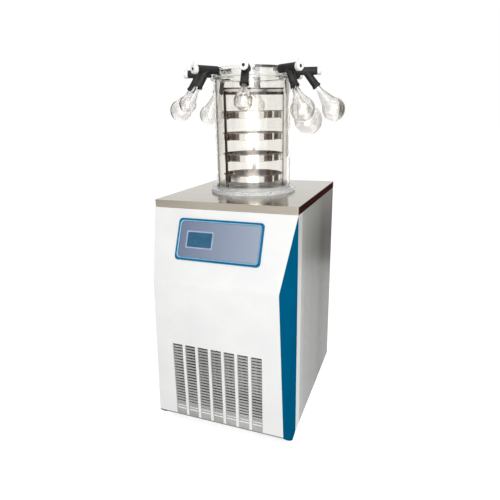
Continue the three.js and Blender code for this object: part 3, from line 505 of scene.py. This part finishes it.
def turned(profile, steps=96, radius=0, closed=True):
    """A piece turned round Z from a profile of (radius, height) pairs. Corners off the axis are rounded."""
    bm = bmesh.new()
    verts = line(bm, [(r, 0, z) for r, z in profile], closed)
    inner = verts if closed else verts[1:-1]
    rounded(bm, [v for v in inner if v.co.x > 0.01], radius)
    bmesh.ops.spin(bm, geom=bm.verts[:] + bm.edges[:], cent=(0, 0, 0), axis=(0, 0, 1), angle=2 * pi,
                   steps=steps, use_merge=True)
    return shut(bm)


def slab(size, centre, bevel, segments=2):
    """A block with rounded edges."""
    bm = bmesh.new()
    bmesh.ops.create_cube(bm, size=1)
    bmesh.ops.scale(bm, vec=size, verts=bm.verts)
    bmesh.ops.bevel(bm, geom=bm.edges[:], offset=bevel, segments=segments, profile=0.5, affect="EDGES",
                    material=-1)
    bmesh.ops.translate(bm, vec=centre, verts=bm.verts)
    return bm


def rod(radius, length, steps=48, end_radius=None, bevel=0.0):
    """A rod from the origin along +Z."""
    bm = bmesh.new()
    bmesh.ops.create_cone(bm, cap_ends=True, segments=steps, radius1=radius, depth=length,
                          radius2=radius if end_radius is None else end_radius)
    bmesh.ops.translate(bm, vec=(0, 0, length / 2), verts=bm.verts)
    if bevel:
        rims = [e for e in bm.edges if abs(e.verts[0].co.z - e.verts[1].co.z) < 0.001]
        bmesh.ops.bevel(bm, geom=rims, offset=bevel, segments=3, profile=0.5, affect="EDGES", material=-1)
    return bm


def moved(bm, *matrices):
    """The bmesh after moves, the first of them first."""
    for matrix in matrices:
        bmesh.ops.transform(bm, matrix=matrix, verts=bm.verts)
    return bm


def together(*parts):
    """Several bmeshes as one."""
    whole = bmesh.new()
    for part in parts:
        held = bpy.data.meshes.new("held")
        part.to_mesh(held)
        part.free()
        whole.from_mesh(held)
        bpy.data.meshes.remove(held)
    return whole


def drawn_in(verts, inset, rise=0):
    """Moves an outline round the origin inward and up."""
    for vert in verts:
        vert.co.x -= inset if vert.co.x > 0 else -inset
        vert.co.y -= inset if vert.co.y > 0 else -inset
        vert.co.z += rise


def swept_frame(width, height, corner, steps, cap_start=False, cap_end=False, segments=5, closed=False):
    """A rounded rectangle carried through steps of (inset, rise) from the full outline at rise 0."""
    bm = bmesh.new()
    bmesh.ops.create_grid(bm, x_segments=1, y_segments=1, size=0.5)
    bmesh.ops.scale(bm, vec=(width, height, 1), verts=bm.verts)
    rounded(bm, bm.verts[:], corner, segments)
    if not cap_start:
        bmesh.ops.delete(bm, geom=bm.faces[:], context="FACES_ONLY")
    first = [e for e in bm.edges if len(e.link_faces) < 2]
    loop, inset, rise = first, 0, 0
    for next_inset, next_rise in steps:
        loop = [e for e in edges_of(bmesh.ops.extrude_edge_only(bm, edges=loop)) if len(e.link_faces) == 1]
        drawn_in({v for e in loop for v in e.verts}, next_inset - inset, next_rise - rise)
        inset, rise = next_inset, next_rise
    if cap_end:
        bmesh.ops.contextual_create(bm, geom=loop)
    if closed:
        bmesh.ops.bridge_loops(bm, edges=loop + first)
    return shut(bm)


def boolean(piece, tool_bm, operation):
    """Joins or cuts a finished piece with a bmesh in millimetres round the chamber's axis."""
    tool = placed("tool", moved(tool_bm, TO_FRAME))
    modifier = piece.modifiers.new("cut", "BOOLEAN")
    modifier.operation, modifier.object, modifier.solver = operation, tool, "EXACT"
    settle(piece)
    mesh = tool.data
    bpy.data.objects.remove(tool)
    bpy.data.meshes.remove(mesh)


def settle(piece):
    """Applies a piece's modifiers."""
    view = bpy.context.evaluated_depsgraph_get()
    view.update()
    mesh = bpy.data.meshes.new_from_object(piece.evaluated_get(view))
    old, name = piece.data, piece.data.name
    piece.modifiers.clear()
    piece.data = mesh
    bpy.data.meshes.remove(old)
    mesh.name = name


def turn_z(angle):
    return Matrix.Rotation(radians(angle), 4, "Z")


# ---------- Cabinet ----------
def dress(node, material):
    """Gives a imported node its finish."""
    nodes[node].data.materials.clear()
    nodes[node].data.materials.append(material)


def half_width(z):
    """Half the front cover's width at a height."""
    crease = SIDE - COVER_CREASE_INSET
    if z >= COVER_CREASE:
        return crease + (SIDE - crease) * (z - COVER_CREASE) / (COVER_HIGH.z - COVER_CREASE)
    bottom = SIDE - COVER_BOTTOM_INSET
    return bottom + (crease - bottom) * (z - COVER_LOW.z) / (COVER_CREASE - COVER_LOW.z)


def front_cover():
    """A folded sheet with the grille's seven windows, narrower at the crease."""
    window_low = COVER_LOW.z + WINDOW_RISE
    window_high = window_low + WINDOW_HEIGHT
    bm = bmesh.new()
    verts = line(bm, [
        (0, COVER_ROOT, COVER_HIGH.z), (0, COVER_FACE, COVER_CREASE), (0, COVER_FACE, window_high),
        (0, COVER_FACE, window_low), (0, COVER_FACE, COVER_LOW.z),
        (0, COVER_FACE + COVER_RETURN, COVER_LOW.z)])
    crease, fold = verts[1], verts[4]
    rounded(bm, [crease], COVER_CREASE_ROUND, 8)
    rounded(bm, [fold], COVER_FOLD_ROUND, 5)
    centres = [(i - (GRILLE_COLUMNS - 1) / 2) * GRILLE_PITCH for i in range(GRILLE_COLUMNS)]
    stops = [-SIDE] + [c + s * WINDOW_WIDTH / 2 for c in centres for s in (-1, 1)] + [SIDE]
    bmesh.ops.translate(bm, vec=(stops[0], 0, 0), verts=bm.verts)
    edges = bm.edges[:]
    for start, end in zip(stops, stops[1:]):
        made = bmesh.ops.extrude_edge_only(bm, edges=edges)
        bmesh.ops.translate(bm, vec=(end - start, 0, 0), verts=verts_of(made))
        edges = [e for e in edges_of(made) if all(near(v.co.x, end) for v in e.verts)]
    openings = [f for f in bm.faces if window_low < f.calc_center_median().z < window_high
                and any(abs(f.calc_center_median().x - c) < 1 for c in centres)]
    bmesh.ops.delete(bm, geom=openings, context="FACES")
    for vert in bm.verts:
        if near(abs(vert.co.x), SIDE):
            relief = COVER_RELIEF if vert.co.y > COVER_FACE + 5 and vert.co.z < COVER_LOW.z + 2 else 0
            vert.co.x = (half_width(vert.co.z) - relief) * (1 if vert.co.x > 0 else -1)
    corners = [v for v in bm.verts if v.is_boundary and abs(abs(v.co.x) - half_width(v.co.z)) > 1
               and window_low - 0.1 < v.co.z < window_high + 0.1]
    rounded(bm, corners, WINDOW_CORNER)
    shut(bm)
    if sum(f.normal.y for f in bm.faces) > 0:
        turn_over(bm)
    piece = finished("folded_front_cover", bm, COVER_COAT, "front_cover", sharp=30,
                     wall=SHEET, even=False)
    soften(piece, 0.5)


def soften(piece, width, segments=2):
    """Takes the sharpness off a piece's edges."""
    bevel = piece.modifiers.new("edges", "BEVEL")
    bevel.width, bevel.segments, bevel.limit_method = width * MM, segments, "ANGLE"
    bevel.angle_limit = radians(SHARP_CORNER)
    bevel.harden_normals = True


def worktop():
    """A folded steel top: the band turns in to a lip, and the trap's mouth is cut through."""
    low, high = span("worktop")
    centre = (low + high) / 2
    bm = swept_frame(high.x - low.x, high.y - low.y, WORKTOP_CORNER, [(0, WORKTOP_BAND)], segments=6)
    rim, bottom = ([e for e in bm.edges if e.is_boundary and all(near(v.co.z, height) for v in e.verts)]
                   for height in (WORKTOP_BAND, 0))
    hole = bmesh.ops.create_circle(bm, segments=64, radius=TRAP_RADIUS + GAP)["verts"]
    bmesh.ops.translate(bm, vec=(-centre.x, -centre.y, WORKTOP_BAND), verts=hole)
    hole_edges = list({e for v in hole for e in v.link_edges})
    bmesh.ops.triangle_fill(bm, use_beauty=True, edges=rim + hole_edges, normal=(0, 0, 1))
    drawn_in(verts_of(bmesh.ops.extrude_edge_only(bm, edges=bottom)), WORKTOP_LIP)
    shut(bm)
    if sum(f.normal.z * f.calc_area() for f in bm.faces) < 0:
        turn_over(bm)
    bmesh.ops.translate(bm, vec=(centre.x, centre.y, low.z), verts=bm.verts)
    piece = finished("folded_worktop", bm, WORKTOP_STEEL, "worktop", wall=SHEET, even=False)
    soften(piece, 0.9, 3)


def on_panel(bm):
    """From the control panel's own frame, X across, Y up the slope and Z out, to its place."""
    down = PANEL_TOP_DROP + PANEL_HEIGHT / 2
    place = (0, COVER_ROOT - down * sin(COVER_TILT), COVER_HIGH.z - down * cos(COVER_TILT))
    return moved(bm, Matrix.Translation((0, 0, GAP)), Matrix.Rotation(pi / 2 - COVER_TILT, 4, "X"),
                 Matrix.Translation(place))


def control_panel():
    """A blue bezel whose inner edge carries a painted highlight, a printed film and the display's window."""
    high = BEZEL_HEIGHT
    bezel = swept_frame(PANEL_WIDTH, PANEL_HEIGHT, PANEL_CORNER, [
        (0, high - 1.4), (0.5, high - 0.4), (1.6, high), (BEZEL_WIDTH - 3.2, high),
        (BEZEL_WIDTH - 0.4, high - 1.6), (BEZEL_WIDTH, 0)], segments=8, closed=True)
    # painted highlight: the inner bevel gets the pale blue
    for face in bezel.faces:
        centre = face.calc_center_median()
        inward = face.normal.x * centre.x + face.normal.y * centre.y < -1
        face.material_index = 1 if inward and high - 1.5 < centre.z < high - 0.1 else 0
    inside = BEZEL_WIDTH + GAP
    film = swept_frame(PANEL_WIDTH - 2 * inside, PANEL_HEIGHT - 2 * inside, FILM_CORNER,
                       [(0, FILM_HEIGHT - 0.3), (0.3, FILM_HEIGHT)], cap_start=True, cap_end=True)
    glass = swept_frame(DISPLAY_WIDTH, DISPLAY_HEIGHT, DISPLAY_CORNER,
                        [(0, 2.2), (0.5, 2.7), (3.6, 2.7), (4.2, 2.1)], cap_start=True, cap_end=True)
    for face in glass.faces:
        window = face.calc_area() > DISPLAY_WIDTH * DISPLAY_HEIGHT / 2 and face.normal.z > 0
        face.material_index = 0 if window else 1
    bmesh.ops.translate(glass, vec=(DISPLAY_OFFSET, 0, 0), verts=glass.verts)
    finished("control_panel_bezel", on_panel(bezel), [BEZEL_BLUE, BEZEL_HIGHLIGHT_EDGE],
             "control_bezel", sharp=50)
    finished("control_panel_film", on_panel(film), MEMBRANE, "control_membrane")
    finished("control_panel_display", on_panel(glass), [DISPLAY_GLASS, DISPLAY_BORDER],
             "display_window")


def feet():
    """Rubber levelling feet."""
    for i in range(1, 5):
        centre = middle(f"foot_{i}") - AXIS
        foot = turned(FOOT_PROFILE, 48, 0.8)
        bmesh.ops.translate(foot, vec=(centre.x, centre.y, 0), verts=foot.verts)
        finished(f"levelling_foot_{i}", foot, FOOT_RUBBER, f"foot_{i}")


# ---------- Cold trap and chamber ----------
def cold_trap():
    """A steel bucket with a lip on the worktop, and the coil round it."""
    lip = WORKTOP_TOP + GAP + SHEET
    wall = TRAP_RADIUS - SHEET
    bucket = turned([(0, TRAP_FLOOR), (TRAP_RADIUS, TRAP_FLOOR), (TRAP_RADIUS, lip - SHEET),
                     (TRAP_LIP_RADIUS, lip - SHEET), (TRAP_LIP_RADIUS, lip), (wall, lip),
                     (wall, TRAP_FLOOR + SHEET), (0, TRAP_FLOOR + SHEET)], 96, 0.6, closed=False)
    finished("cold_trap_bucket", bucket, TRAP_STEEL, "cold_trap")
    low, high = span("trap_coil")
    coil = bmesh.new()
    bmesh.ops.create_circle(coil, segments=14, radius=COIL_RADIUS, cap_ends=True)
    bmesh.ops.rotate(coil, verts=coil.verts, cent=(0, 0, 0), matrix=Matrix.Rotation(pi / 2, 3, "X"))
    reach = wall * cos(pi / 32) - COIL_RADIUS - GAP
    bmesh.ops.translate(coil, vec=(reach, 0, low.z + COIL_RADIUS), verts=coil.verts)
    steps = 40 * COIL_TURNS
    climb = high.z - low.z - 2 * COIL_RADIUS
    bmesh.ops.spin(coil, geom=coil.faces[:], cent=(0, 0, 0), axis=(0, 0, 1), angle=2 * pi * COIL_TURNS,
                   steps=steps, dvec=(0, 0, climb / steps))
    finished("trap_coil_tube", shut(coil), TRAP_STEEL, "trap_coil")


def ring(inner, outer, low, high, steps, radius):
    """A turned ring with a square section, its corners rounded."""
    return turned([(inner, low), (outer, low), (outer, high), (inner, high)], steps, radius)


def chamber():
    """The clear tube in its flange, with the gasket under it and the lid's seal on it."""
    inner = CHAMBER_RADIUS - CHAMBER_WALL
    bottom, top = CHAMBER_LOW.z, CHAMBER_HIGH.z
    tube = ring(inner, CHAMBER_RADIUS, bottom, top, 256, 0.8)
    finished("chamber_tube", tube, TUBE_ACRYLIC, "chamber")
    flange = ring(CHAMBER_RADIUS + GAP, FLANGE_RADIUS, bottom, bottom + FLANGE_HEIGHT, 128, 1.5)
    finished("chamber_base_flange", flange, FROSTED, "base_flange")
    gasket = ring(TRAP_LIP_RADIUS + GAP, FLANGE_RADIUS, WORKTOP_TOP + GAP, bottom - GAP, 96, 0.6)
    finished("chamber_base_gasket", gasket, SEAL_WHITE, "chamber_gasket")
    seal = ring(inner, CHAMBER_RADIUS, top + GAP, LID_BOTTOM - GAP, 96, 0.5)
    finished("lid_seal", seal, SEAL_WHITE, "lid_gasket")


def out_of_port(i, bm, start):
    """Moves a piece that runs along +Z to run out of a port, from a distance off the chamber's axis."""
    return moved(bm, Matrix.Rotation(pi / 2, 4, "Y"), Matrix.Translation((start, 0, 0)), port(i))


def port(i):
    """The place of a port: X points out along it."""
    return Matrix.Translation((0, 0, PORT_Z)) @ turn_z(PORT_PHASE + 360 / PORTS * i)


def lid():
    """A clear drum with a spigot in the chamber, and eight bored stubs for the valves."""
    spigot = CHAMBER_RADIUS - CHAMBER_WALL - GAP
    hollow = spigot - LID_WALL
    brim = CHAMBER_RADIUS + LID_BRIM
    top, flange, foot = LID_BOTTOM + LID_HEIGHT, LID_BOTTOM + LID_FLANGE, LID_BOTTOM - LID_SPIGOT
    drum = turned([(0, top), (LID_RADIUS, top), (LID_RADIUS, flange), (brim, flange), (brim, LID_BOTTOM),
                   (spigot, LID_BOTTOM), (spigot, foot), (hollow, foot), (hollow, top - LID_ROOF),
                   (0, top - LID_ROOF)], 128, 1.5, closed=False)
    piece = finished("manifold_lid_drum", drum, ACRYLIC, "manifold_lid", sharp=25, even=False)
    stubs = [out_of_port(i, rod(PORT_RADIUS, PORT_REACH + LID_WALL / 2, 32, bevel=0.6),
                         LID_RADIUS - LID_WALL / 2) for i in range(PORTS)]
    boolean(piece, together(*stubs), "UNION")
    bores = [out_of_port(i, rod(PORT_BORE, PORT_REACH + 4 * LID_WALL, 24), spigot - 2 * LID_WALL)
             for i in range(PORTS)]
    boolean(piece, together(*bores), "DIFFERENCE")


# ---------- Valves, knobs and flasks ----------
def branch(tilt, start=0.0):
    """Turns a piece that runs along +Z down a valve's branch."""
    return (Matrix.Translation((VALVE_START + BRANCH_OFFSET, 0, 0))
            @ Matrix.Rotation(pi - radians(tilt), 4, "Y") @ Matrix.Translation((0, 0, start)))


def valve(i):
    """A moulded rubber tee, its collar at the mouth, blended where the branch leaves."""
    tilt = FLASKS[i][2]
    body = out_of_port(i, rod(VALVE_RADIUS, VALVE_LENGTH, 48, bevel=1.6), VALVE_START)
    stem = moved(rod(BRANCH_ROOT, BRANCH_LENGTH, 48, BRANCH_MOUTH), branch(tilt), port(i))
    collar = moved(rod(COLLAR_RADIUS, COLLAR_LENGTH, 48, bevel=1.2),
                   branch(tilt, BRANCH_LENGTH - COLLAR_LENGTH), port(i))
    piece = finished(f"flask_valve_{i + 1}", together(body, stem, collar), RUBBER,
                     f"valve_{i + 1}", smooth=False)
    remesh = piece.modifiers.new("moulding", "REMESH")
    remesh.mode, remesh.voxel_size, remesh.use_smooth_shade = "VOXEL", 0.95 * MM, True
    settle(piece)
    bm = bmesh.new()
    bm.from_mesh(piece.data)
    for _ in range(4):
        bmesh.ops.smooth_vert(bm, verts=bm.verts, factor=0.5, use_axis_x=True, use_axis_y=True,
                              use_axis_z=True)
    bm.to_mesh(piece.data)
    bm.free()
    mouth = moved(rod(NECK_RADIUS + 0.5, MOUTH_DEPTH + 2, 48), branch(tilt, BRANCH_LENGTH - MOUTH_DEPTH),
                  port(i))
    boolean(piece, mouth, "DIFFERENCE")
    bore = out_of_port(i, rod(PORT_RADIUS + GAP, VALVE_LENGTH + 8, 32), VALVE_START - 4)
    boolean(piece, bore, "DIFFERENCE")
    shade(piece)


def shade(piece):
    """Smooth faces, with sharp edges at sharp corners."""
    bm = bmesh.new()
    bm.from_mesh(piece.data)
    bmesh.ops.dissolve_degenerate(bm, dist=1e-6, edges=bm.edges)
    smooth_faces(bm, SHARP_CORNER)
    bm.to_mesh(piece.data)
    bm.free()


def knob(i):
    """A white cap with a black eye, a stem and a pointer tab."""
    thick, radius = KNOB_THICKNESS, KNOB_RADIUS
    eye = thick - EYE_DEPTH
    cap = turned([(0, eye), (EYE_RADIUS, eye), (EYE_RADIUS, thick), (radius - 1, thick), (radius, thick - 4),
                  (radius - 0.4, 0), (STEM_RADIUS, 0), (STEM_RADIUS, -STEM_LENGTH), (0, -STEM_LENGTH)],
                 48, 0.7, closed=False)
    for face in cap.faces:
        centre = face.calc_center_median()
        in_eye = hypot(centre.x, centre.y) < EYE_RADIUS + 0.1 and centre.z > eye - 1
        face.material_index = 1 if in_eye else 0
    tab = slab(KNOB_TAB[::-1], (-KNOB_TAB[2] / 2, 0, thick / 2), 1.0, 3)
    whole = out_of_port(i, together(cap, tab), VALVE_START + VALVE_LENGTH + GAP)
    finished(f"valve_knob_{i + 1}", whole, [KNOB_WHITE, RUBBER], f"knob_{i + 1}",
             body=f"knob_{i + 1}_body")


def flask(i):
    """Thin glass: a straight neck, a sloping shoulder and a round bulb."""
    bulb, length, tilt = FLASKS[i]
    middle_of_bulb = Vector((0, 0, length - bulb))
    bm = bmesh.new()
    tip = bm.verts.new((0, 0, length))
    bmesh.ops.spin(bm, geom=[tip], cent=middle_of_bulb, axis=(0, 1, 0), angle=radians(SHOULDER), steps=28)
    last = min(bm.verts, key=lambda v: v.co.z)
    shoulder = bm.verts.new((NECK_RADIUS, 0, MOUTH_DEPTH + NECK_SHOW))
    mouth = bm.verts.new((NECK_RADIUS, 0, 0))
    bm.edges.new((last, shoulder))
    bm.edges.new((shoulder, mouth))
    rounded(bm, [shoulder, last], 5, 4)
    bmesh.ops.spin(bm, geom=bm.verts[:] + bm.edges[:], cent=(0, 0, 0), axis=(0, 0, 1), angle=2 * pi,
                   steps=80, use_merge=True)
    shut(bm)
    if sum(f.normal.dot(f.calc_center_median() - middle_of_bulb) for f in bm.faces) < 0:
        turn_over(bm)
    moved(bm, branch(tilt, BRANCH_LENGTH - MOUTH_DEPTH + GAP), port(i))
    finished(f"glass_flask_{i + 1}", bm, LAB_GLASS, f"flask_{i + 1}", wall=FLASK_WALL)


# ---------- Rack and trays ----------
def tray_bottom(i):
    return span(f"tray_{i + 1}")[0].z


def tray(i):
    """A shallow steel pan with its rim turned out and down."""
    low = tray_bottom(i)
    high = low + TRAY_HEIGHT
    wall = TRAY_RADIUS - TRAY_RIM
    bm = turned([(0, low), (wall, low), (wall, high), (TRAY_RADIUS, high), (TRAY_RADIUS, high - TRAY_RIM)],
                96, 1.1, closed=False)
    bottom = [f for f in bm.faces if f.calc_center_median().z < low + 0.5]
    if bottom[0].normal.z > 0:
        turn_over(bm)
    # the inside of each pan gets the darker steel as painted shade
    finished(f"product_tray_{i + 1}", bm, [TRAY_STEEL, TRAY_SHADED_INSIDE], f"tray_{i + 1}",
             wall=TRAY_SHEET)


def rack_bar(start, end):
    """A folded bar between two points, its web upright and its flanges turned to the left of its run."""
    run = end - start
    low, high = RACK_TOP - BAR_HEIGHT, RACK_TOP
    bm = bmesh.new()
    line(bm, [(0, BAR_FLANGE, low), (0, 0, low), (0, 0, high), (0, BAR_FLANGE, high)])
    rounded(bm, [v for v in bm.verts if v.co.y < 0.01], 1.5)
    made = bmesh.ops.extrude_edge_only(bm, edges=bm.edges[:])
    bmesh.ops.translate(bm, vec=(run.length, 0, 0), verts=verts_of(made))
    bmesh.ops.recalc_face_normals(bm, faces=bm.faces)
    bmesh.ops.solidify(bm, geom=bm.faces[:], thickness=SHEET)
    return moved(shut(bm), turn_z(degrees(atan2(run.y, run.x))), Matrix.Translation((*start, 0)))


def rack():
    """Two front posts and a rear one with a tab under each tray, joined by folded bars across the top."""
    foot = WORKTOP_TOP + 2 * GAP + SHEET
    parts, tops = [], []
    for angle in (-RACK_SPREAD, RACK_SPREAD, RACK_REAR):
        tops.append(Vector((cos(radians(angle)), sin(radians(angle)))) * POST_RADIUS)
        post = slab((POST_THICKNESS, POST_WIDTH, RACK_TOP - foot),
                    (POST_RADIUS, 0, (RACK_TOP + foot) / 2), 0.6)
        tabs = [slab((TAB_REACH, POST_WIDTH, SHEET),
                     (POST_RADIUS - TAB_REACH / 2, 0, tray_bottom(i) - GAP - SHEET / 2), 0.4)
                for i in range(TRAYS)]
        parts.append(moved(together(post, *tabs), turn_z(angle)))
    right, left, rear = tops
    parts += [rack_bar(right, left), rack_bar((right + left) / 2, rear)]
    finished("tray_rack", moved(together(*parts), turn_z(RACK_OPENING)), RACK_PAINTED_STEEL, "rack")


# ---------- Back ----------
BACKWARD = Matrix.Rotation(-pi / 2, 4, "X")


def vacuum_pipe():
    """A bored pipe with a flange at its rear end."""
    low, high = span("vacuum_pipe")
    centre, length = (low + high) / 2, high.y - low.y
    bm = turned([(PIPE_BORE, 0), (PIPE_RADIUS, 0), (PIPE_RADIUS, length - 5), (PIPE_FLANGE, length - 3.5),
                 (PIPE_FLANGE, length), (PIPE_BORE, length)], 64, 0.5)
    moved(bm, BACKWARD, Matrix.Translation((centre.x, low.y, centre.z)))
    finished("vacuum_pipe_stub", bm, PIPE_STEEL, "vacuum_pipe")


def screws():
    """Domed screws along both sides of the back panel."""
    back = span("back_panel")[1].y
    low, high = CABINET_BOTTOM + SCREW_MARGIN, CABINET_TOP - SCREW_MARGIN
    heads = [moved(rod(SCREW_RADIUS, SCREW_HEIGHT, 20, SCREW_RADIUS * 0.7, 0.3), BACKWARD,
                   Matrix.Translation((x, back, z)))
             for x in (-SIDE + SCREW_INSET, SIDE - SCREW_INSET) for z in (low, (low + high) / 2, high)]
    finished("back_panel_screws", together(*heads), SCREW_STEEL)


# ---------- The dryer ----------
for node, material in {
        "base_pan": PAN_STEEL, "side_panel_left": SIDE_SHADED_COAT, "side_panel_right": SIDE_SHADED_COAT,
        "back_panel": WHITE_COAT, "mains_inlet": BLACK_PLASTIC, "front_frame": WHITE_COAT,
        "grille_panel": GRILLE_COAT, "flank_left": BLUE_COAT, "flank_right": BLUE_COAT, "trap_jacket": FOAM,
        "condenser": FIN_METAL, "fan": FIN_METAL, "compressor": ENAMEL}.items():
    dress(node, material)
front_cover()
worktop()
control_panel()
feet()
cold_trap()
chamber()
lid()
for station in range(PORTS):
    valve(station)
    knob(station)
    flask(station)
for shelf in range(TRAYS):
    tray(shelf)
rack()
vacuum_pipe()
screws()


# ---------- Studio ----------
def matt(name, base, glow):
    """A matt material with a light of its own: the material, its nodes and its shader."""
    material = bpy.data.materials.new(name)
    material.use_nodes = True
    tree = material.node_tree
    shader = tree.nodes["Principled BSDF"]
    for socket, value in (("Base Color", base), ("Roughness", 0.9), ("Specular IOR Level", 0),
                          ("Emission Color", glow), ("Emission Strength", 1)):
        shader.inputs[socket].default_value = value
    return material, tree, shader


def seen_directly(tree):
    """1 for camera, glossy and transmission rays."""
    path = tree.nodes.new("ShaderNodeLightPath")
    total = path.outputs["Is Camera Ray"]
    for name in ("Is Glossy Ray", "Is Transmission Ray"):
        either = tree.nodes.new("ShaderNodeMath")
        either.operation = "MAXIMUM"
        tree.links.new(total, either.inputs[0])
        tree.links.new(path.outputs[name], either.inputs[1])
        total = either.outputs[0]
    return total


def when_seen(tree, unseen, seen, socket):
    """Sets a socket to one value for rays that see it directly and to another for the rest."""
    level = tree.nodes.new("ShaderNodeMapRange")
    level.inputs["To Min"].default_value, level.inputs["To Max"].default_value = unseen, seen
    tree.links.new(seen_directly(tree), level.inputs["Value"])
    tree.links.new(level.outputs["Result"], socket)


def studio():
    """A pale floor that keeps shadows, and a white surround that lights the set softly."""
    bm = bmesh.new()
    bmesh.ops.create_grid(bm, x_segments=1, y_segments=1, size=40)
    floor = placed("studio_floor", bm)
    paint, tree, shader = matt("studio_floor_paint", (0.8, 0.8, 0.8, 1), (1, 1, 1, 1))
    when_seen(tree, 0, FLOOR_GLOW, shader.inputs["Emission Strength"])
    floor.data.materials.append(paint)

    world = bpy.data.worlds.new("studio_world")
    bpy.context.scene.world = world
    world.use_nodes = True
    background = world.node_tree.nodes["Background"]
    background.inputs["Color"].default_value = (1, 1, 1, 1)
    when_seen(world.node_tree, WORLD_LIGHT, 1, background.inputs["Strength"])


def reflection_card(name, azimuth, width, tone, low=0.0, high=2.2, mirrored=True, through=True):
    """A dark upright card out of the picture, seen only mirrored or through clear pieces."""
    bm = bmesh.new()
    bmesh.ops.create_grid(bm, x_segments=1, y_segments=1, size=0.5)
    moved(bm, Matrix.Diagonal((high - low, width, 1, 1)), Matrix.Rotation(pi / 2, 4, "Y"),
          Matrix.Translation((CARD_DISTANCE, 0, (low + high) / 2)), turn_z(azimuth),
          Matrix.Translation(AXIS * MM))
    card = placed(name, bm)
    card.data.materials.append(matt(name + "_felt", (0, 0, 0, 1), tone)[0])
    card.visible_camera = card.visible_diffuse = card.visible_shadow = False
    card.visible_glossy, card.visible_transmission = mirrored, through


def softbox(name, place, target, size, power):
    """A soft lamp turned to its target."""
    light = bpy.data.lights.new(name, "AREA")
    light.shape, light.size, light.size_y, light.energy = "RECTANGLE", size[0], size[1], power
    lamp = bpy.data.objects.new(name, light)
    bpy.context.scene.collection.objects.link(lamp)
    lamp.location = place
    lamp.rotation_euler = (Vector(target) - Vector(place)).to_track_quat("-Z", "Y").to_euler()
    return lamp


def camera():
    """Stands at the front right, a little above the chamber's lid, looking down."""
    data = bpy.data.cameras.new("studio_camera")
    data.sensor_width, data.lens = 36, 31.514
    data.shift_x, data.shift_y = 0.0004, -0.0051
    yaw, pitch, roll = radians(-20.84), radians(-16.48), radians(-1.01)
    forward = Vector((sin(yaw) * cos(pitch), cos(yaw) * cos(pitch), sin(pitch)))
    level = Vector((cos(yaw), -sin(yaw), 0))
    upright = level.cross(forward)
    right = level * cos(roll) + upright * sin(roll)
    up = upright * cos(roll) - level * sin(roll)
    stand = (AXIS + CAMERA_PLACE) * MM
    cam = bpy.data.objects.new("studio_camera", data)
    bpy.context.scene.collection.objects.link(cam)
    cam.matrix_world = Matrix((
        (right.x, up.x, -forward.x, stand.x), (right.y, up.y, -forward.y, stand.y),
        (right.z, up.z, -forward.z, stand.z), (0, 0, 0, 1)))
    bpy.context.scene.camera = cam


studio()
softbox("key_softbox", (1.1, -2.1, 2.2), (0, 0, 0.7), (2.2, 1.8), 50)
softbox("front_softbox", (1.1, -3.0, 1.0), (0, 0, 0.5), (2.0, 1.6), 18)
glare_strip = softbox("glare_strip", (0.72, -2.3, 0.86), (0, 0, 0.86), (2.2, 0.95), 4)
glare_strip.visible_diffuse = False
reflection_card("left_front_card", 216, 1.35, colour(92, 80, 76), low=0.56)
reflection_card("left_rear_card", 165, 1.7, colour(92, 84, 80), low=0.4)
reflection_card("right_front_card", -8, 1.1, colour(84, 74, 68))
reflection_card("right_card", 35, 0.9, colour(84, 74, 68))
reflection_card("right_rear_low_card", 71, 1.2, colour(66, 32, 32), high=0.72, through=False)
reflection_card("right_rear_high_card", 71, 1.04, colour(118, 118, 105), low=0.72, mirrored=False)
camera()
bpy.context.scene.view_settings.view_transform = "Standard"
